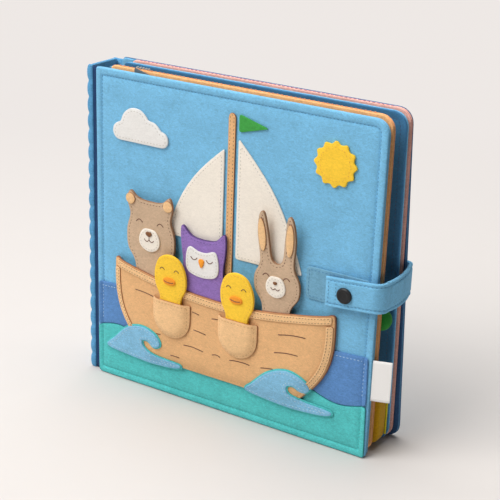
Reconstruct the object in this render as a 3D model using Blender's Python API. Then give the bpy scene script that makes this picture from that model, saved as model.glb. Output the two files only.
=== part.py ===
# Soft activity book of felt, standing closed and upright, with a sailing boat on its front cover.
# Lengths are in metres. X runs from the spine to the fore-edge, Y from the front cover to the
# back cover, Z up. The origin is the middle of the book's outer box, at the surface it stands on.

import math

import bmesh
import bpy
from mathutils import Vector

# Sizes of the covers
COVER_WIDTH = 0.234
COVER_HEIGHT = 0.240
COVER_FELT = 0.0015
COVER_BOARD = 0.0009
LINING_FELT = 0.0011
LINING_RIM = 0.0045
COVER_CORNER_TOP = 0.010
COVER_CORNER_BOTTOM = 0.004
COVER_CORNER_SPINE = 0.0015
INNER_CORNER_SHARE = 0.25
SEAT_GAP = 0.0003
BACK_COVER_WIDTH = 0.2345
BACK_COVER_HEIGHT = 0.2415
BACK_COVER_CORNER = 0.010
BACK_COVER_FLARE = 0.0055

# Sizes of the spine and its hinges
BOOK_DEPTH_TOP = 0.0345
BOOK_LEAN = 0.0080
HINGE_VALLEY = 0.0042
HINGE_FELT = 0.0010
SPINE_FELT = 0.0024
SPINE_EDGE_WIDTH = 0.0052
SPINE_EDGE_FELT = 0.0022
SPINE_EDGE_SETBACK = 0.0016
SCALLOP_PITCH = 0.0120
SCALLOP_DEPTH = 0.0014
SCALLOP_SHARES = (1.0, 0.85, 0.68, 0.5, 0.32, 0.15)
SCALLOP_ROUND_SHARE = 0.6
FRONT_HINGE_SETBACK = 0.0005
GUTTER_FELT = 0.0012
GUTTER_END = 0.0040

# Sizes of the pages
PAGE_FELT = 0.0020
PAGE_LIFT = 0.0010
PAGE_ONE_FRONT = 0.0055
PAGE_TWO_FRONT = 0.0205
PAGE_THREE_FRONT = 0.0253
PAGE_ONE_HINGE_X = 0.0090
PAGE_TWO_HINGE_X = 0.0090
PAGE_THREE_HINGE_X = 0.0125
PAGE_ONE_WIDTH = 0.2343
PAGE_TWO_WIDTH = 0.2360
PAGE_THREE_WIDTH = 0.2365
PAGE_ONE_TOP = 0.2415
PAGE_TWO_TOP = 0.2410
PAGE_THREE_TOP = 0.2422
PAGE_CORNER = 0.010
PAGE_CORNER_SPINE = 0.004

# Sizes of what the pages carry
ZIP_WIDTH = 0.0145
ZIP_FROM_SPINE = 0.0315
ZIP_BOTTOM = 0.145
ZIP_TOP = 0.2430
ZIP_SLANT = 0.0040
ZIP_THICKNESS = 0.0008
POUCH_WIDTH = 0.036
POUCH_FROM_EDGE = 0.0005
POUCH_BOTTOM = 0.004
POUCH_TOP = 0.040
POUCH_FRONT = 0.0125
POUCH_CORNER = 0.006
BALL_RADIUS = 0.0075
BALL_DEPTH = 0.0070
BALL_FROM_EDGE = 0.0060
BALL_HEIGHT = 0.0975
BALL_RINGS = 8
BALL_SIDES = 14

# Sizes of the side label, a folded tape in the cover's edge seam
LABEL_LENGTH = 0.0130
LABEL_BOTTOM = 0.0445
LABEL_TOP = 0.0745
LABEL_THICKNESS = 0.0008
LABEL_SETBACK = 0.0012
LABEL_ANGLE = math.radians(16)

# Sizes of the closing strap
STRAP_WIDTH = 0.0235
STRAP_HEIGHT = 0.1195
STRAP_THICKNESS = 0.0026
STRAP_RISE = 0.0030
STRAP_END = 0.1985
STRAP_PROUD = 0.0056
STRAP_SIDE_X = 0.2403
STRAP_BEND = 0.0080
STRAP_BACK_BEND = 0.0032
STRAP_ANCHOR_END = 0.200
STRAP_FOLD_GAP = 0.0006
STRAP_PIVOT_GAP = 0.0001
TAB_START = 0.181
TAB_FELT = 0.0011
TAB_CORNER = 0.003
BEND_STEPS = 8

# Sizes of the press stud
SNAP_FROM_END = 0.0151
SNAP_CAP_RADIUS = 0.0056
SNAP_CAP_HEIGHT = 0.0020
SNAP_FLANGE_RADIUS = 0.0050
SNAP_FLANGE = 0.0006
SNAP_NUB_RADIUS = 0.0019
SNAP_NUB = 0.0008
SNAP_PLAY = 0.0005
SNAP_RING_RADIUS = 0.0048
SNAP_RING = 0.0014
SNAP_SIDES = 24
CAP_PROFILE_SHARES = ((1.0, 0.0), (1.0, 0.33), (0.9, 0.75), (0.62, 1.0), (0.0, 1.0))

# Sizes of the felt picture, in layers in front of the cover
LAYER_FELT = 0.0012
PUPPET_FELT = 0.00105
BAND_INSET = 0.0045
BAND_LEFT = 0.0020
BAND_FOOT = 0.0005
SEA_HEIGHT = 0.076
SEA_SWELL = 0.0020
WAVE_HEIGHT = 0.040
WAVE_SWELL = 0.0045
WAVE_COUNT = 3
BAND_STEPS = 36
CREST_WIDTH = 0.070
CREST_HEIGHT = 0.026
CREST_LEFT_X = 0.046
CREST_RIGHT_X = 0.172
CREST_BASE = 0.026
CLOUD_WIDTH = 0.050
CLOUD_HEIGHT = 0.027
CLOUD_X = 0.041
CLOUD_FROM_TOP = 0.050
SUN_RADIUS = 0.0150
SUN_RAY_SHARE = 0.12
SUN_RAYS = 12
SUN_RAY_STEPS = 4
SUN_FROM_EDGE = 0.036
SUN_FROM_TOP = 0.035
MAST_WIDTH = 0.0060
MAST_X = 0.118
MAST_BASE = 0.096
MAST_FROM_TOP = 0.014
MAST_END_SHARE = 0.9
SAIL_GAP = 0.0025
LARGE_SAIL_WIDTH = 0.054
LARGE_SAIL_BASE = 0.122
LARGE_SAIL_FROM_TOP = 0.031
SMALL_SAIL_WIDTH = 0.048
SMALL_SAIL_BASE = 0.128
SMALL_SAIL_FROM_TOP = 0.040
SAIL_BOW = 0.0075
SAIL_STEPS = 10
FLAG_LENGTH = 0.024
FLAG_HEIGHT = 0.013

# Sizes of the boat, a deep pocket open at its top
HULL_LEFT = 0.020
HULL_RIGHT = 0.206
HULL_SHEER = 0.101
HULL_SAG = 0.012
HULL_KEEL_Z = 0.026
HULL_KEEL_LEFT = 0.052
HULL_KEEL_RIGHT = 0.176
HULL_BOW = 0.012
HULL_STEPS = 10
POCKET_DEPTH = 0.0030
POCKET_SEAM = 0.0030
HULL_LEVEL = 0.0018
PATCH_RADIUS = 0.0165
PATCH_HEIGHT = 0.030
PATCH_BASE = 0.0500
PATCH_STEPS = 14
DUCK_LEVEL = 0.0063

# Sizes of the finger puppets
BEAR_WIDTH = 0.042
BEAR_HEIGHT = 0.104
BEAR_X = 0.053
BEAR_BASE = 0.054
OWL_WIDTH = 0.038
OWL_HEIGHT = 0.092
OWL_X = 0.099
OWL_BASE = 0.048
RABBIT_WIDTH = 0.036
RABBIT_HEIGHT = 0.116
RABBIT_X = 0.160
RABBIT_BASE = 0.050
DUCK_WIDTH = 0.027
DUCK_HEIGHT = 0.058
DUCK_LEFT_X = 0.074
DUCK_RIGHT_X = 0.131
DUCK_BASE = 0.0575
FACE_FELT = 0.0012
OUTLINE_STEPS = 3
CORNER_STEPS = 6
SMALL_CORNER_STEPS = 4
SMOOTH_ANGLE = math.radians(35)

# Outline points as shares of half the width and of the height, from the bottom up the right side
BEAR_SHARES = ((0.60, 0.0), (0.62, 0.28), (0.66, 0.46), (0.97, 0.56), (1.0, 0.70), (0.84, 0.81),
               (0.95, 0.90), (0.84, 0.99), (0.60, 0.95), (0.32, 0.93))
OWL_SHARES = ((0.78, 0.0), (0.92, 0.25), (0.97, 0.50), (0.90, 0.68), (1.0, 0.86), (0.96, 1.0),
              (0.60, 0.93), (0.25, 0.91))
RABBIT_SHARES = ((0.60, 0.0), (0.62, 0.26), (0.64, 0.40), (0.97, 0.48), (1.0, 0.58), (0.74, 0.67),
                 (0.84, 0.84), (0.74, 0.97), (0.52, 0.99), (0.36, 0.84), (0.22, 0.69))
DUCK_SHARES = ((0.74, 0.0), (0.80, 0.24), (0.66, 0.42), (0.97, 0.58), (1.0, 0.76), (0.72, 0.93),
               (0.28, 1.0))
CLOUD_SHARES = ((-0.90, 0.0), (-1.0, 0.22), (-0.80, 0.45), (-0.62, 0.50), (-0.52, 0.84), (-0.12, 0.98),
                (0.18, 0.72), (0.42, 0.80), (0.66, 0.55), (0.86, 0.48), (1.0, 0.22), (0.88, 0.0))
CREST_SHARES = ((-1.0, 0.0), (-0.80, 0.30), (-0.45, 0.76), (-0.02, 1.0), (0.36, 0.88), (0.52, 0.58),
                (0.34, 0.44), (0.20, 0.60), (0.02, 0.56), (0.06, 0.32), (0.40, 0.16), (1.0, 0.10),
                (0.86, -0.06), (0.20, -0.14), (-0.50, -0.10))
SNOUT_SHARES = ((0.0, 0.0), (0.80, 0.18), (1.0, 0.55), (0.62, 0.94), (0.0, 1.0))
BELLY_SHARES = ((0.0, 0.0), (0.85, 0.12), (1.0, 0.50), (0.80, 0.92), (0.25, 0.82))
SNOUT_WIDTH_SHARE = 0.44
SNOUT_HEIGHT_SHARE = 0.17
BEAR_SNOUT_SHARE = 0.56
RABBIT_SNOUT_SHARE = 0.46
BELLY_WIDTH_SHARE = 0.74
BELLY_HEIGHT_SHARE = 0.26
OWL_FACE_SHARE = 0.60

# Sizes worked out from the ones above
COVER_DEPTH = COVER_FELT + COVER_BOARD + LINING_FELT + 2 * SEAT_GAP
BOOK_DEPTH_BOTTOM = BOOK_DEPTH_TOP + BOOK_LEAN
SPINE_EDGE_LEFT = -HINGE_VALLEY - SPINE_EDGE_WIDTH
SPINE_EDGE_BACK = SPINE_EDGE_SETBACK + SPINE_EDGE_FELT
SPINE_FRONT = SPINE_EDGE_BACK + SEAT_GAP
SPINE_INNER_X = -HINGE_VALLEY - SEAT_GAP
LABEL_OVERHANG = LABEL_THICKNESS / 2 * math.sin(LABEL_ANGLE)
LABEL_RIGHT = COVER_WIDTH + SEAT_GAP + LABEL_LENGTH * math.cos(LABEL_ANGLE) + LABEL_OVERHANG
PAGE_DEPTH = 2 * PAGE_FELT + SEAT_GAP
DUCK_POCKET_FACE = DUCK_LEVEL + POCKET_DEPTH
CLOUD_BASE = COVER_HEIGHT - CLOUD_FROM_TOP
SUN_X = COVER_WIDTH - SUN_FROM_EDGE
SUN_Z = COVER_HEIGHT - SUN_FROM_TOP
MAST_TOP = COVER_HEIGHT - MAST_FROM_TOP
LARGE_SAIL_TOP = COVER_HEIGHT - LARGE_SAIL_FROM_TOP
SMALL_SAIL_TOP = COVER_HEIGHT - SMALL_SAIL_FROM_TOP
STRAP_HALF = STRAP_THICKNESS / 2
ANCHOR_Y_TOP = BOOK_DEPTH_TOP + SEAT_GAP + STRAP_HALF
STRAP_LEAN = BOOK_LEAN * (1 - STRAP_HEIGHT / COVER_HEIGHT)
SNAP_X = STRAP_END + SNAP_FROM_END

# Middle of the outer box, which becomes the origin
BOX_LEFT = SPINE_EDGE_LEFT
BOX_RIGHT = LABEL_RIGHT
BOX_FRONT = -(DUCK_POCKET_FACE + LAYER_FELT)
BOX_BACK = BOOK_DEPTH_BOTTOM
ORIGIN = Vector(((BOX_LEFT + BOX_RIGHT) / 2, (BOX_FRONT + BOX_BACK) / 2, 0))

# Points on the joint axes, in book coordinates
FRONT_AXIS = Vector((-HINGE_VALLEY / 2, FRONT_HINGE_SETBACK, 0))
BACK_AXIS = Vector((-HINGE_VALLEY / 2, BOOK_DEPTH_BOTTOM - FRONT_HINGE_SETBACK, 0))
PAGE_AXES = (Vector((PAGE_ONE_HINGE_X, PAGE_ONE_FRONT, 0)), Vector((PAGE_TWO_HINGE_X, PAGE_TWO_FRONT, 0)),
             Vector((PAGE_THREE_HINGE_X, PAGE_THREE_FRONT, 0)))
STRAP_PIVOT_X = STRAP_SIDE_X + STRAP_HALF + STRAP_PIVOT_GAP
FLAP_END_Y = STRAP_BEND - STRAP_PROUD
FLAP_AXIS = Vector((STRAP_PIVOT_X, FLAP_END_Y + STRAP_FOLD_GAP / 2, 0))
ANCHOR_END_Y = ANCHOR_Y_TOP - STRAP_BACK_BEND + STRAP_LEAN
SIDE_AXIS = Vector((STRAP_PIVOT_X, ANCHOR_END_Y - STRAP_FOLD_GAP / 2, 0))

# Colours, as linear values
SKY = (0.145, 0.393, 0.623)
SPINE_BLUE = (0.105, 0.310, 0.560)
DENIM = (0.094, 0.202, 0.474)
TEAL = (0.078, 0.480, 0.440)
FOAM_BLUE = (0.205, 0.520, 0.680)
TAN = (0.745, 0.475, 0.260)
CREAM = (0.860, 0.800, 0.720)
WARM_WHITE = (0.830, 0.830, 0.820)
YELLOW = (0.905, 0.560, 0.085)
TAUPE = (0.470, 0.330, 0.230)
PURPLE = (0.165, 0.105, 0.330)
ORANGE = (0.900, 0.430, 0.190)
PINK = (0.850, 0.360, 0.310)
OLIVE = (0.500, 0.330, 0.020)
GREEN = (0.070, 0.330, 0.070)
DARK_GREY = (0.050, 0.070, 0.085)
BLACK = (0.012, 0.013, 0.016)
BOARD_WHITE = (0.700, 0.700, 0.680)


def clear_scene():
    for item in list(bpy.data.objects):
        bpy.data.objects.remove(item, do_unlink=True)


def material(name, colour, roughness):
    made = bpy.data.materials.new(name)
    made.use_nodes = True
    shader = made.node_tree.nodes["Principled BSDF"]
    shader.inputs["Base Color"].default_value = (*colour, 1)
    shader.inputs["Roughness"].default_value = roughness
    shader.inputs["Metallic"].default_value = 0
    return made


def carrier(name, point, parent=None, parent_point=None):
    empty = bpy.data.objects.new(name, None)
    bpy.context.collection.objects.link(empty)
    empty.parent = parent
    empty.location = point - (parent_point if parent else ORIGIN)
    return {"empty": empty, "point": point}


def finish(name, mesh_data, body, colour, roughness=0.9, smooth=False):
    bmesh.ops.translate(mesh_data, verts=mesh_data.verts, vec=-body["point"])
    bmesh.ops.recalc_face_normals(mesh_data, faces=mesh_data.faces)
    mesh = bpy.data.meshes.new(name)
    mesh_data.to_mesh(mesh)
    mesh_data.free()
    if smooth:
        mesh.shade_smooth()
        mesh.set_sharp_from_angle(angle=SMOOTH_ANGLE)
    made = bpy.data.objects.new(name, mesh)
    bpy.context.collection.objects.link(made)
    made.parent = body["empty"]
    mesh.materials.append(material(name, colour, roughness))
    return made


# The back half of the book leans, so its bottom edge stands further back than its top
def lean_at(z):
    return BOOK_LEAN * (1 - z / COVER_HEIGHT)


# A flat piece cut from felt: an outline in X and Z, from one depth to another
def sheet(name, outline, y_front, y_back, body, colour, lean_front=False, lean_back=False, **looks):
    shape = bmesh.new()
    corners = [shape.verts.new((x, y_front, z)) for x, z in outline]
    face = shape.faces.new(corners)
    grown = bmesh.ops.extrude_face_region(shape, geom=[face])
    behind = [item for item in grown["geom"] if isinstance(item, bmesh.types.BMVert)]
    bmesh.ops.translate(shape, verts=behind, vec=(0, y_back - y_front, 0))
    back_set = set(behind)
    for corner in shape.verts:
        if lean_back if corner in back_set else lean_front:
            corner.co.y += lean_at(corner.co.z)
    return finish(name, shape, body, colour, **looks)


# A flat piece in front of the cover, at a height above the cover's face
def layer(name, outline, level, thickness, body, colour):
    return sheet(name, outline, -level - thickness, -level, body, colour)


# A pocket: a felt face with a sewn wall round its sides and bottom, open at its top.
# The wall path runs from the mouth's one end, round the bottom, to its other end.
def pocket(name, wall, inner_wall, mouth, level, depth, body, colour):
    shape = bmesh.new()
    face_y = -level - depth - LAYER_FELT
    outer = [shape.verts.new((x, face_y, z)) for x, z in wall]
    inner = [shape.verts.new((x, face_y, z)) for x, z in inner_wall]
    lip = [shape.verts.new((x, face_y, z)) for x, z in mouth]
    rim = shape.faces.new(outer + inner[::-1])
    middle = shape.faces.new(inner + lip)
    grown = bmesh.ops.extrude_face_region(shape, geom=[rim, middle])
    moved = [item for item in grown["geom"] if isinstance(item, bmesh.types.BMVert)]
    bmesh.ops.translate(shape, verts=moved, vec=(0, LAYER_FELT, 0))
    back_faces = [item for item in grown["geom"] if isinstance(item, bmesh.types.BMFace)]
    rim_back = max(back_faces, key=lambda item: len(item.verts))
    walls = bmesh.ops.extrude_face_region(shape, geom=[rim_back])
    wall_ends = [item for item in walls["geom"] if isinstance(item, bmesh.types.BMVert)]
    bmesh.ops.translate(shape, verts=wall_ends, vec=(0, depth, 0))
    bmesh.ops.delete(shape, geom=[rim_back], context="FACES_ONLY")
    return finish(name, shape, body, colour)


# A felt ribbon that follows a path in X and Y, with its width along Z
def ribbon(name, path, half, z_low, z_high, body, colour, rise=None, lean=False):
    left, right = [], []
    for index, point in enumerate(path):
        before = path[max(index - 1, 0)]
        after = path[min(index + 1, len(path) - 1)]
        along = (Vector(after) - Vector(before)).normalized()
        across = Vector((-along.y, along.x)) * half
        left.append(Vector(point) + across)
        right.append(Vector(point) - across)
    shape = bmesh.new()
    face = shape.faces.new([shape.verts.new((p.x, p.y, z_low)) for p in left + right[::-1]])
    grown = bmesh.ops.extrude_face_region(shape, geom=[face])
    upper = [item for item in grown["geom"] if isinstance(item, bmesh.types.BMVert)]
    bmesh.ops.translate(shape, verts=upper, vec=(0, 0, z_high - z_low))
    for corner in shape.verts:
        if rise:
            corner.co.z += rise(corner.co)
        if lean:
            corner.co.y += lean_at(corner.co.z)
    return finish(name, shape, body, colour)


# A turned piece: radius and depth points revolved round an axis along Y
def turned(name, profile, centre_x, centre_z, body, colour, roughness):
    shape = bmesh.new()
    rings = []
    for radius, y in profile:
        if radius == 0:
            rings.append([shape.verts.new((centre_x, y, centre_z))])
            continue
        ring = []
        for step in range(SNAP_SIDES):
            turn = 2 * math.pi * step / SNAP_SIDES
            ring.append(shape.verts.new((centre_x + radius * math.cos(turn), y,
                                         centre_z + radius * math.sin(turn))))
        rings.append(ring)
    for first, second in zip(rings, rings[1:]):
        for step in range(SNAP_SIDES):
            corners = [first[step % len(first)], first[(step + 1) % len(first)],
                       second[(step + 1) % len(second)], second[step % len(second)]]
            shape.faces.new(list(dict.fromkeys(corners)))
    return finish(name, shape, body, colour, roughness=roughness, smooth=True)


# Outlines
def arc(centre_x, centre_z, radius, start, end, steps):
    turns = [math.radians(start + (end - start) * step / steps) for step in range(steps + 1)]
    return [(centre_x + radius * math.cos(turn), centre_z + radius * math.sin(turn)) for turn in turns]


# A rounded panel, whose corners start at the spine's bottom and run round by the fore-edge
def panel(left, right, bottom, top, radii, steps=CORNER_STEPS):
    low_left, low_right, high_right, high_left = radii
    return (arc(left + low_left, bottom + low_left, low_left, 180, 270, steps)
            + arc(right - low_right, bottom + low_right, low_right, 270, 360, steps)
            + arc(right - high_right, top - high_right, high_right, 0, 90, steps)
            + arc(left + high_left, top - high_left, high_left, 90, 180, steps))


# A smooth closed line through its points
def smooth_loop(points, steps=OUTLINE_STEPS):
    line = []
    count = len(points)
    for index in range(count):
        p0, p1, p2, p3 = (Vector(points[(index + shift) % count]) for shift in (-1, 0, 1, 2))
        for step in range(steps):
            t = step / steps
            line.append(tuple(0.5 * (2 * p1 + (p2 - p0) * t + (2 * p0 - 5 * p1 + 4 * p2 - p3) * t ** 2
                                     + (3 * p1 - p0 - 3 * p2 + p3) * t ** 3)))
    return line


# A shape that is alike on both sides, from the points of its right side
def mirrored(shares, centre_x, base, width, height):
    right = [(centre_x + x * width / 2, base + z * height) for x, z in shares]
    left = [(2 * centre_x - x, z) for x, z in reversed(right) if x > centre_x]
    return smooth_loop(right + left)


def placed(shares, centre_x, base, width, height):
    return smooth_loop([(centre_x + x * width / 2, base + z * height) for x, z in shares])


# A line between two points that bows sideways by a named length
def bowed(start, end, bow, steps):
    start, end = Vector(start), Vector(end)
    along = (end - start).normalized()
    across = Vector((-along.y, along.x))
    return [tuple(start.lerp(end, step / steps) + across * bow * math.sin(math.pi * step / steps))
            for step in range(steps + 1)]


# A line moved inwards by a distance, to the left of its direction
def inset_line(line, distance):
    moved = []
    for index, point in enumerate(line):
        before = Vector(line[max(index - 1, 0)])
        after = Vector(line[min(index + 1, len(line) - 1)])
        along = (after - before).normalized()
        moved.append(tuple(Vector(point) + Vector((-along.y, along.x)) * distance))
    return moved


# The covers: an outer felt, a stiff board and a lining whose rim closes over the board's edge
def lining_tray(name, outline, board_outline, depths, body, colour, lean):
    felt_y, floor_y, rim_y = depths
    shape = bmesh.new()
    rim_outer = [shape.verts.new((x, rim_y, z)) for x, z in outline]
    rim_inner = [shape.verts.new((x, rim_y, z)) for x, z in board_outline]
    floor = [shape.verts.new((x, floor_y, z)) for x, z in board_outline]
    outside = [shape.verts.new((x, felt_y, z)) for x, z in outline]
    count = len(outline)
    for index in range(count):
        following = (index + 1) % count
        for first, second in ((rim_outer, rim_inner), (rim_inner, floor), (outside, rim_outer)):
            shape.faces.new([first[index], first[following], second[following], second[index]])
    shape.faces.new(floor)
    shape.faces.new(outside)
    for corner in shape.verts:
        if lean:
            corner.co.y += lean_at(corner.co.z)
    return finish(name, shape, body, colour)


# The back cover's fore-edge slants, so it is wider at its foot than at its top
def flared(outline):
    slant = BACK_COVER_FLARE / BACK_COVER_WIDTH
    return [(x * (1 + slant * (1 - z / BACK_COVER_HEIGHT)), z) for x, z in outline]


def cover_panel(inset, width, height, corners):
    radii = [max(radius - inset, inset * INNER_CORNER_SHARE + COVER_CORNER_SPINE / 2) for radius in corners]
    return panel(inset, width - inset, inset, height - inset, radii)


def make_front_cover(body):
    corners = (COVER_CORNER_SPINE, COVER_CORNER_BOTTOM, COVER_CORNER_TOP, COVER_CORNER_SPINE)
    outer = cover_panel(0, COVER_WIDTH, COVER_HEIGHT, corners)
    tray = cover_panel(LINING_RIM, COVER_WIDTH, COVER_HEIGHT, corners)
    board = cover_panel(LINING_RIM + SEAT_GAP, COVER_WIDTH, COVER_HEIGHT, corners)
    board_y = COVER_FELT + SEAT_GAP
    sheet("front_cover_felt", outer, 0, COVER_FELT, body, SKY)
    sheet("front_cover_board", board, board_y, board_y + COVER_BOARD, body, BOARD_WHITE)
    floor_y = board_y + COVER_BOARD + SEAT_GAP
    lining_tray("front_cover_lining", outer, tray, (COVER_DEPTH, floor_y, board_y), body, SKY, False)


def make_back_cover(body):
    corners = (COVER_CORNER_SPINE, BACK_COVER_CORNER, BACK_COVER_CORNER, COVER_CORNER_SPINE)
    outer = flared(cover_panel(0, BACK_COVER_WIDTH, BACK_COVER_HEIGHT, corners))
    tray = flared(cover_panel(LINING_RIM, BACK_COVER_WIDTH, BACK_COVER_HEIGHT, corners))
    board = flared(cover_panel(LINING_RIM + SEAT_GAP, BACK_COVER_WIDTH, BACK_COVER_HEIGHT, corners))
    felt_y = BOOK_DEPTH_TOP - COVER_FELT
    board_y = felt_y - SEAT_GAP
    sheet("back_cover_felt", outer, felt_y, BOOK_DEPTH_TOP, body, SKY, True, True)
    sheet("back_cover_board", board, board_y - COVER_BOARD, board_y, body, BOARD_WHITE, True, True)
    floor_y = board_y - COVER_BOARD - SEAT_GAP
    inner_y = BOOK_DEPTH_TOP - COVER_DEPTH
    lining_tray("back_cover_lining", outer, tray, (inner_y, floor_y, board_y), body, DENIM, True)


# The spine: a felt panel, a scalloped seam edge down each corner and a thin felt hinge to each cover
def make_spine_panel(body):
    shape = bmesh.new()
    back_top = BOOK_DEPTH_TOP - SPINE_FRONT
    outline = ((SPINE_FRONT, 0), (back_top + BOOK_LEAN, 0), (back_top, COVER_HEIGHT),
               (SPINE_FRONT, COVER_HEIGHT))
    face = shape.faces.new([shape.verts.new((SPINE_INNER_X, y, z)) for y, z in outline])
    grown = bmesh.ops.extrude_face_region(shape, geom=[face])
    outside = [item for item in grown["geom"] if isinstance(item, bmesh.types.BMVert)]
    bmesh.ops.translate(shape, verts=outside, vec=(-SPINE_FELT, 0, 0))
    finish("spine_panel", shape, body, SPINE_BLUE)


def scalloped_edge():
    count = round(COVER_HEIGHT / SCALLOP_PITCH)
    pitch = COVER_HEIGHT / count
    right_x = -HINGE_VALLEY
    line = [(right_x, 0), (right_x, COVER_HEIGHT)]
    for scallop in reversed(range(count)):
        for share in SCALLOP_SHARES:
            bulge = SCALLOP_DEPTH * abs(math.sin(math.pi * share)) ** SCALLOP_ROUND_SHARE
            line.append((SPINE_EDGE_LEFT + SCALLOP_DEPTH - bulge, (scallop + share) * pitch))
    line.append((SPINE_EDGE_LEFT + SCALLOP_DEPTH, 0))
    return line


def make_spine_edges(body):
    edge = scalloped_edge()
    sheet("spine_edge_front", edge, SPINE_EDGE_SETBACK, SPINE_EDGE_BACK, body, SPINE_BLUE)
    sheet("spine_edge_back", edge, BOOK_DEPTH_TOP - SPINE_EDGE_BACK, BOOK_DEPTH_TOP - SPINE_EDGE_SETBACK,
          body, SPINE_BLUE, True, True)


def make_cover_hinges(body):
    left = -HINGE_VALLEY + SEAT_GAP
    strip = [(left, 0), (-SEAT_GAP, 0), (-SEAT_GAP, COVER_HEIGHT), (left, COVER_HEIGHT)]
    inner = SPINE_EDGE_BACK
    sheet("front_hinge", strip, inner - HINGE_FELT, inner, body, SPINE_BLUE)
    back_inner = BOOK_DEPTH_TOP - inner
    sheet("back_hinge", strip, back_inner, back_inner + HINGE_FELT, body, SPINE_BLUE, True, True)


# The gutter strips carry the pages
def make_gutters(body):
    left = SPINE_INNER_X + SEAT_GAP
    top = COVER_HEIGHT - GUTTER_END
    names = ("gutter_one", "gutter_two", "gutter_three")
    for name, axis, colour in zip(names, PAGE_AXES, (ORANGE, SKY, PINK)):
        right = axis.x - SEAT_GAP
        strip = [(left, GUTTER_END), (right, GUTTER_END), (right, top), (left, top)]
        leans = axis.y > PAGE_ONE_FRONT
        near = axis.y + SEAT_GAP
        sheet(name, strip, near, near + GUTTER_FELT, body, colour, leans, leans)


# The pages: two felts sewn together
def make_page(name, axis, width, top, colours, body):
    radii = (PAGE_CORNER_SPINE, PAGE_CORNER, PAGE_CORNER, PAGE_CORNER_SPINE)
    outline = panel(axis.x + SEAT_GAP, width, PAGE_LIFT, top, radii)
    middle = axis.y + PAGE_FELT
    leans = axis.y > PAGE_ONE_FRONT
    sheet(name + "_front", outline, axis.y, middle, body, colours[0], leans, leans)
    sheet(name + "_back", outline, middle + SEAT_GAP, axis.y + PAGE_DEPTH, body, colours[1], leans, leans)


def make_zip(body):
    right = ZIP_FROM_SPINE + ZIP_WIDTH
    outline = [(ZIP_FROM_SPINE, ZIP_BOTTOM), (right, ZIP_BOTTOM), (right, ZIP_TOP - ZIP_SLANT),
               (ZIP_FROM_SPINE, ZIP_TOP)]
    back = PAGE_ONE_FRONT - SEAT_GAP
    sheet("zip_tape", outline, back - ZIP_THICKNESS, back, body, DARK_GREY)


def make_page_pouch(body):
    right = PAGE_TWO_WIDTH - POUCH_FROM_EDGE
    radii = (POUCH_CORNER, POUCH_CORNER, SEAT_GAP, SEAT_GAP)
    outline = panel(right - POUCH_WIDTH, right, POUCH_BOTTOM, POUCH_TOP, radii, SMALL_CORNER_STEPS)
    sheet("page_pouch", outline, POUCH_FRONT, PAGE_TWO_FRONT - SEAT_GAP, body, OLIVE, False, True)


# A stuffed felt ball sewn to the second page
def make_page_ball(body):
    shape = bmesh.new()
    bmesh.ops.create_uvsphere(shape, u_segments=BALL_SIDES, v_segments=BALL_RINGS, radius=1)
    bmesh.ops.scale(shape, vec=(BALL_RADIUS, BALL_DEPTH, BALL_RADIUS), verts=shape.verts)
    page_y = PAGE_TWO_FRONT + lean_at(BALL_HEIGHT + BALL_RADIUS) - SEAT_GAP
    centre = (PAGE_TWO_WIDTH - BALL_FROM_EDGE, page_y - BALL_DEPTH, BALL_HEIGHT)
    bmesh.ops.translate(shape, verts=shape.verts, vec=centre)
    finish("page_ball", shape, body, GREEN, smooth=True)


def make_side_label(body):
    start = (COVER_WIDTH + SEAT_GAP, LABEL_SETBACK)
    reach = (LABEL_LENGTH * math.cos(LABEL_ANGLE), LABEL_LENGTH * math.sin(LABEL_ANGLE))
    path = [(start[0] + reach[0] * share, start[1] + reach[1] * share) for share in (0, 1)]
    ribbon("side_label", path, LABEL_THICKNESS / 2, LABEL_BOTTOM, LABEL_TOP, body, WARM_WHITE)


# The strap climbs a little from its end towards the fore-edge
def strap_rise(point):
    share = min(max((point.x - STRAP_END) / (COVER_WIDTH - STRAP_END), 0), 1)
    return STRAP_RISE * (share - 0.5)


def strap_side_rise(point):
    share = min(max((point.y - FLAP_END_Y) / (ANCHOR_END_Y - FLAP_END_Y), 0), 1)
    return STRAP_RISE * (0.5 - share)


def anchor_rise(point):
    return -STRAP_RISE / 2


def make_strap(back_body, side_body, flap_body):
    low = STRAP_HEIGHT - STRAP_WIDTH / 2
    high = STRAP_HEIGHT + STRAP_WIDTH / 2
    bend_x = STRAP_SIDE_X - STRAP_BEND
    flap = [(STRAP_END, -STRAP_PROUD)] + arc(bend_x, FLAP_END_Y, STRAP_BEND, 270, 360, BEND_STEPS)
    ribbon("strap_flap", flap, STRAP_HALF, low, high, flap_body, SKY, rise=strap_rise)
    side = [(STRAP_SIDE_X, FLAP_END_Y + STRAP_FOLD_GAP), (STRAP_SIDE_X, ANCHOR_END_Y - STRAP_FOLD_GAP)]
    ribbon("strap_side", side, STRAP_HALF, low, high, side_body, SKY, rise=strap_side_rise)
    back_x = STRAP_SIDE_X - STRAP_BACK_BEND
    back_y = ANCHOR_Y_TOP - STRAP_BACK_BEND
    anchor = arc(back_x, back_y, STRAP_BACK_BEND, 0, 90, BEND_STEPS) + [(STRAP_ANCHOR_END, ANCHOR_Y_TOP)]
    ribbon("strap_anchor", anchor, STRAP_HALF, low, high, back_body, SKY, rise=anchor_rise, lean=True)


def make_stud_tab(body):
    low = STRAP_HEIGHT - STRAP_WIDTH / 2
    high = STRAP_HEIGHT + STRAP_WIDTH / 2
    outline = panel(TAB_START, COVER_WIDTH - BAND_INSET, low, high, [TAB_CORNER] * 4, SMALL_CORNER_STEPS)
    layer("stud_tab", outline, SEAT_GAP, TAB_FELT, body, SKY)


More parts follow.
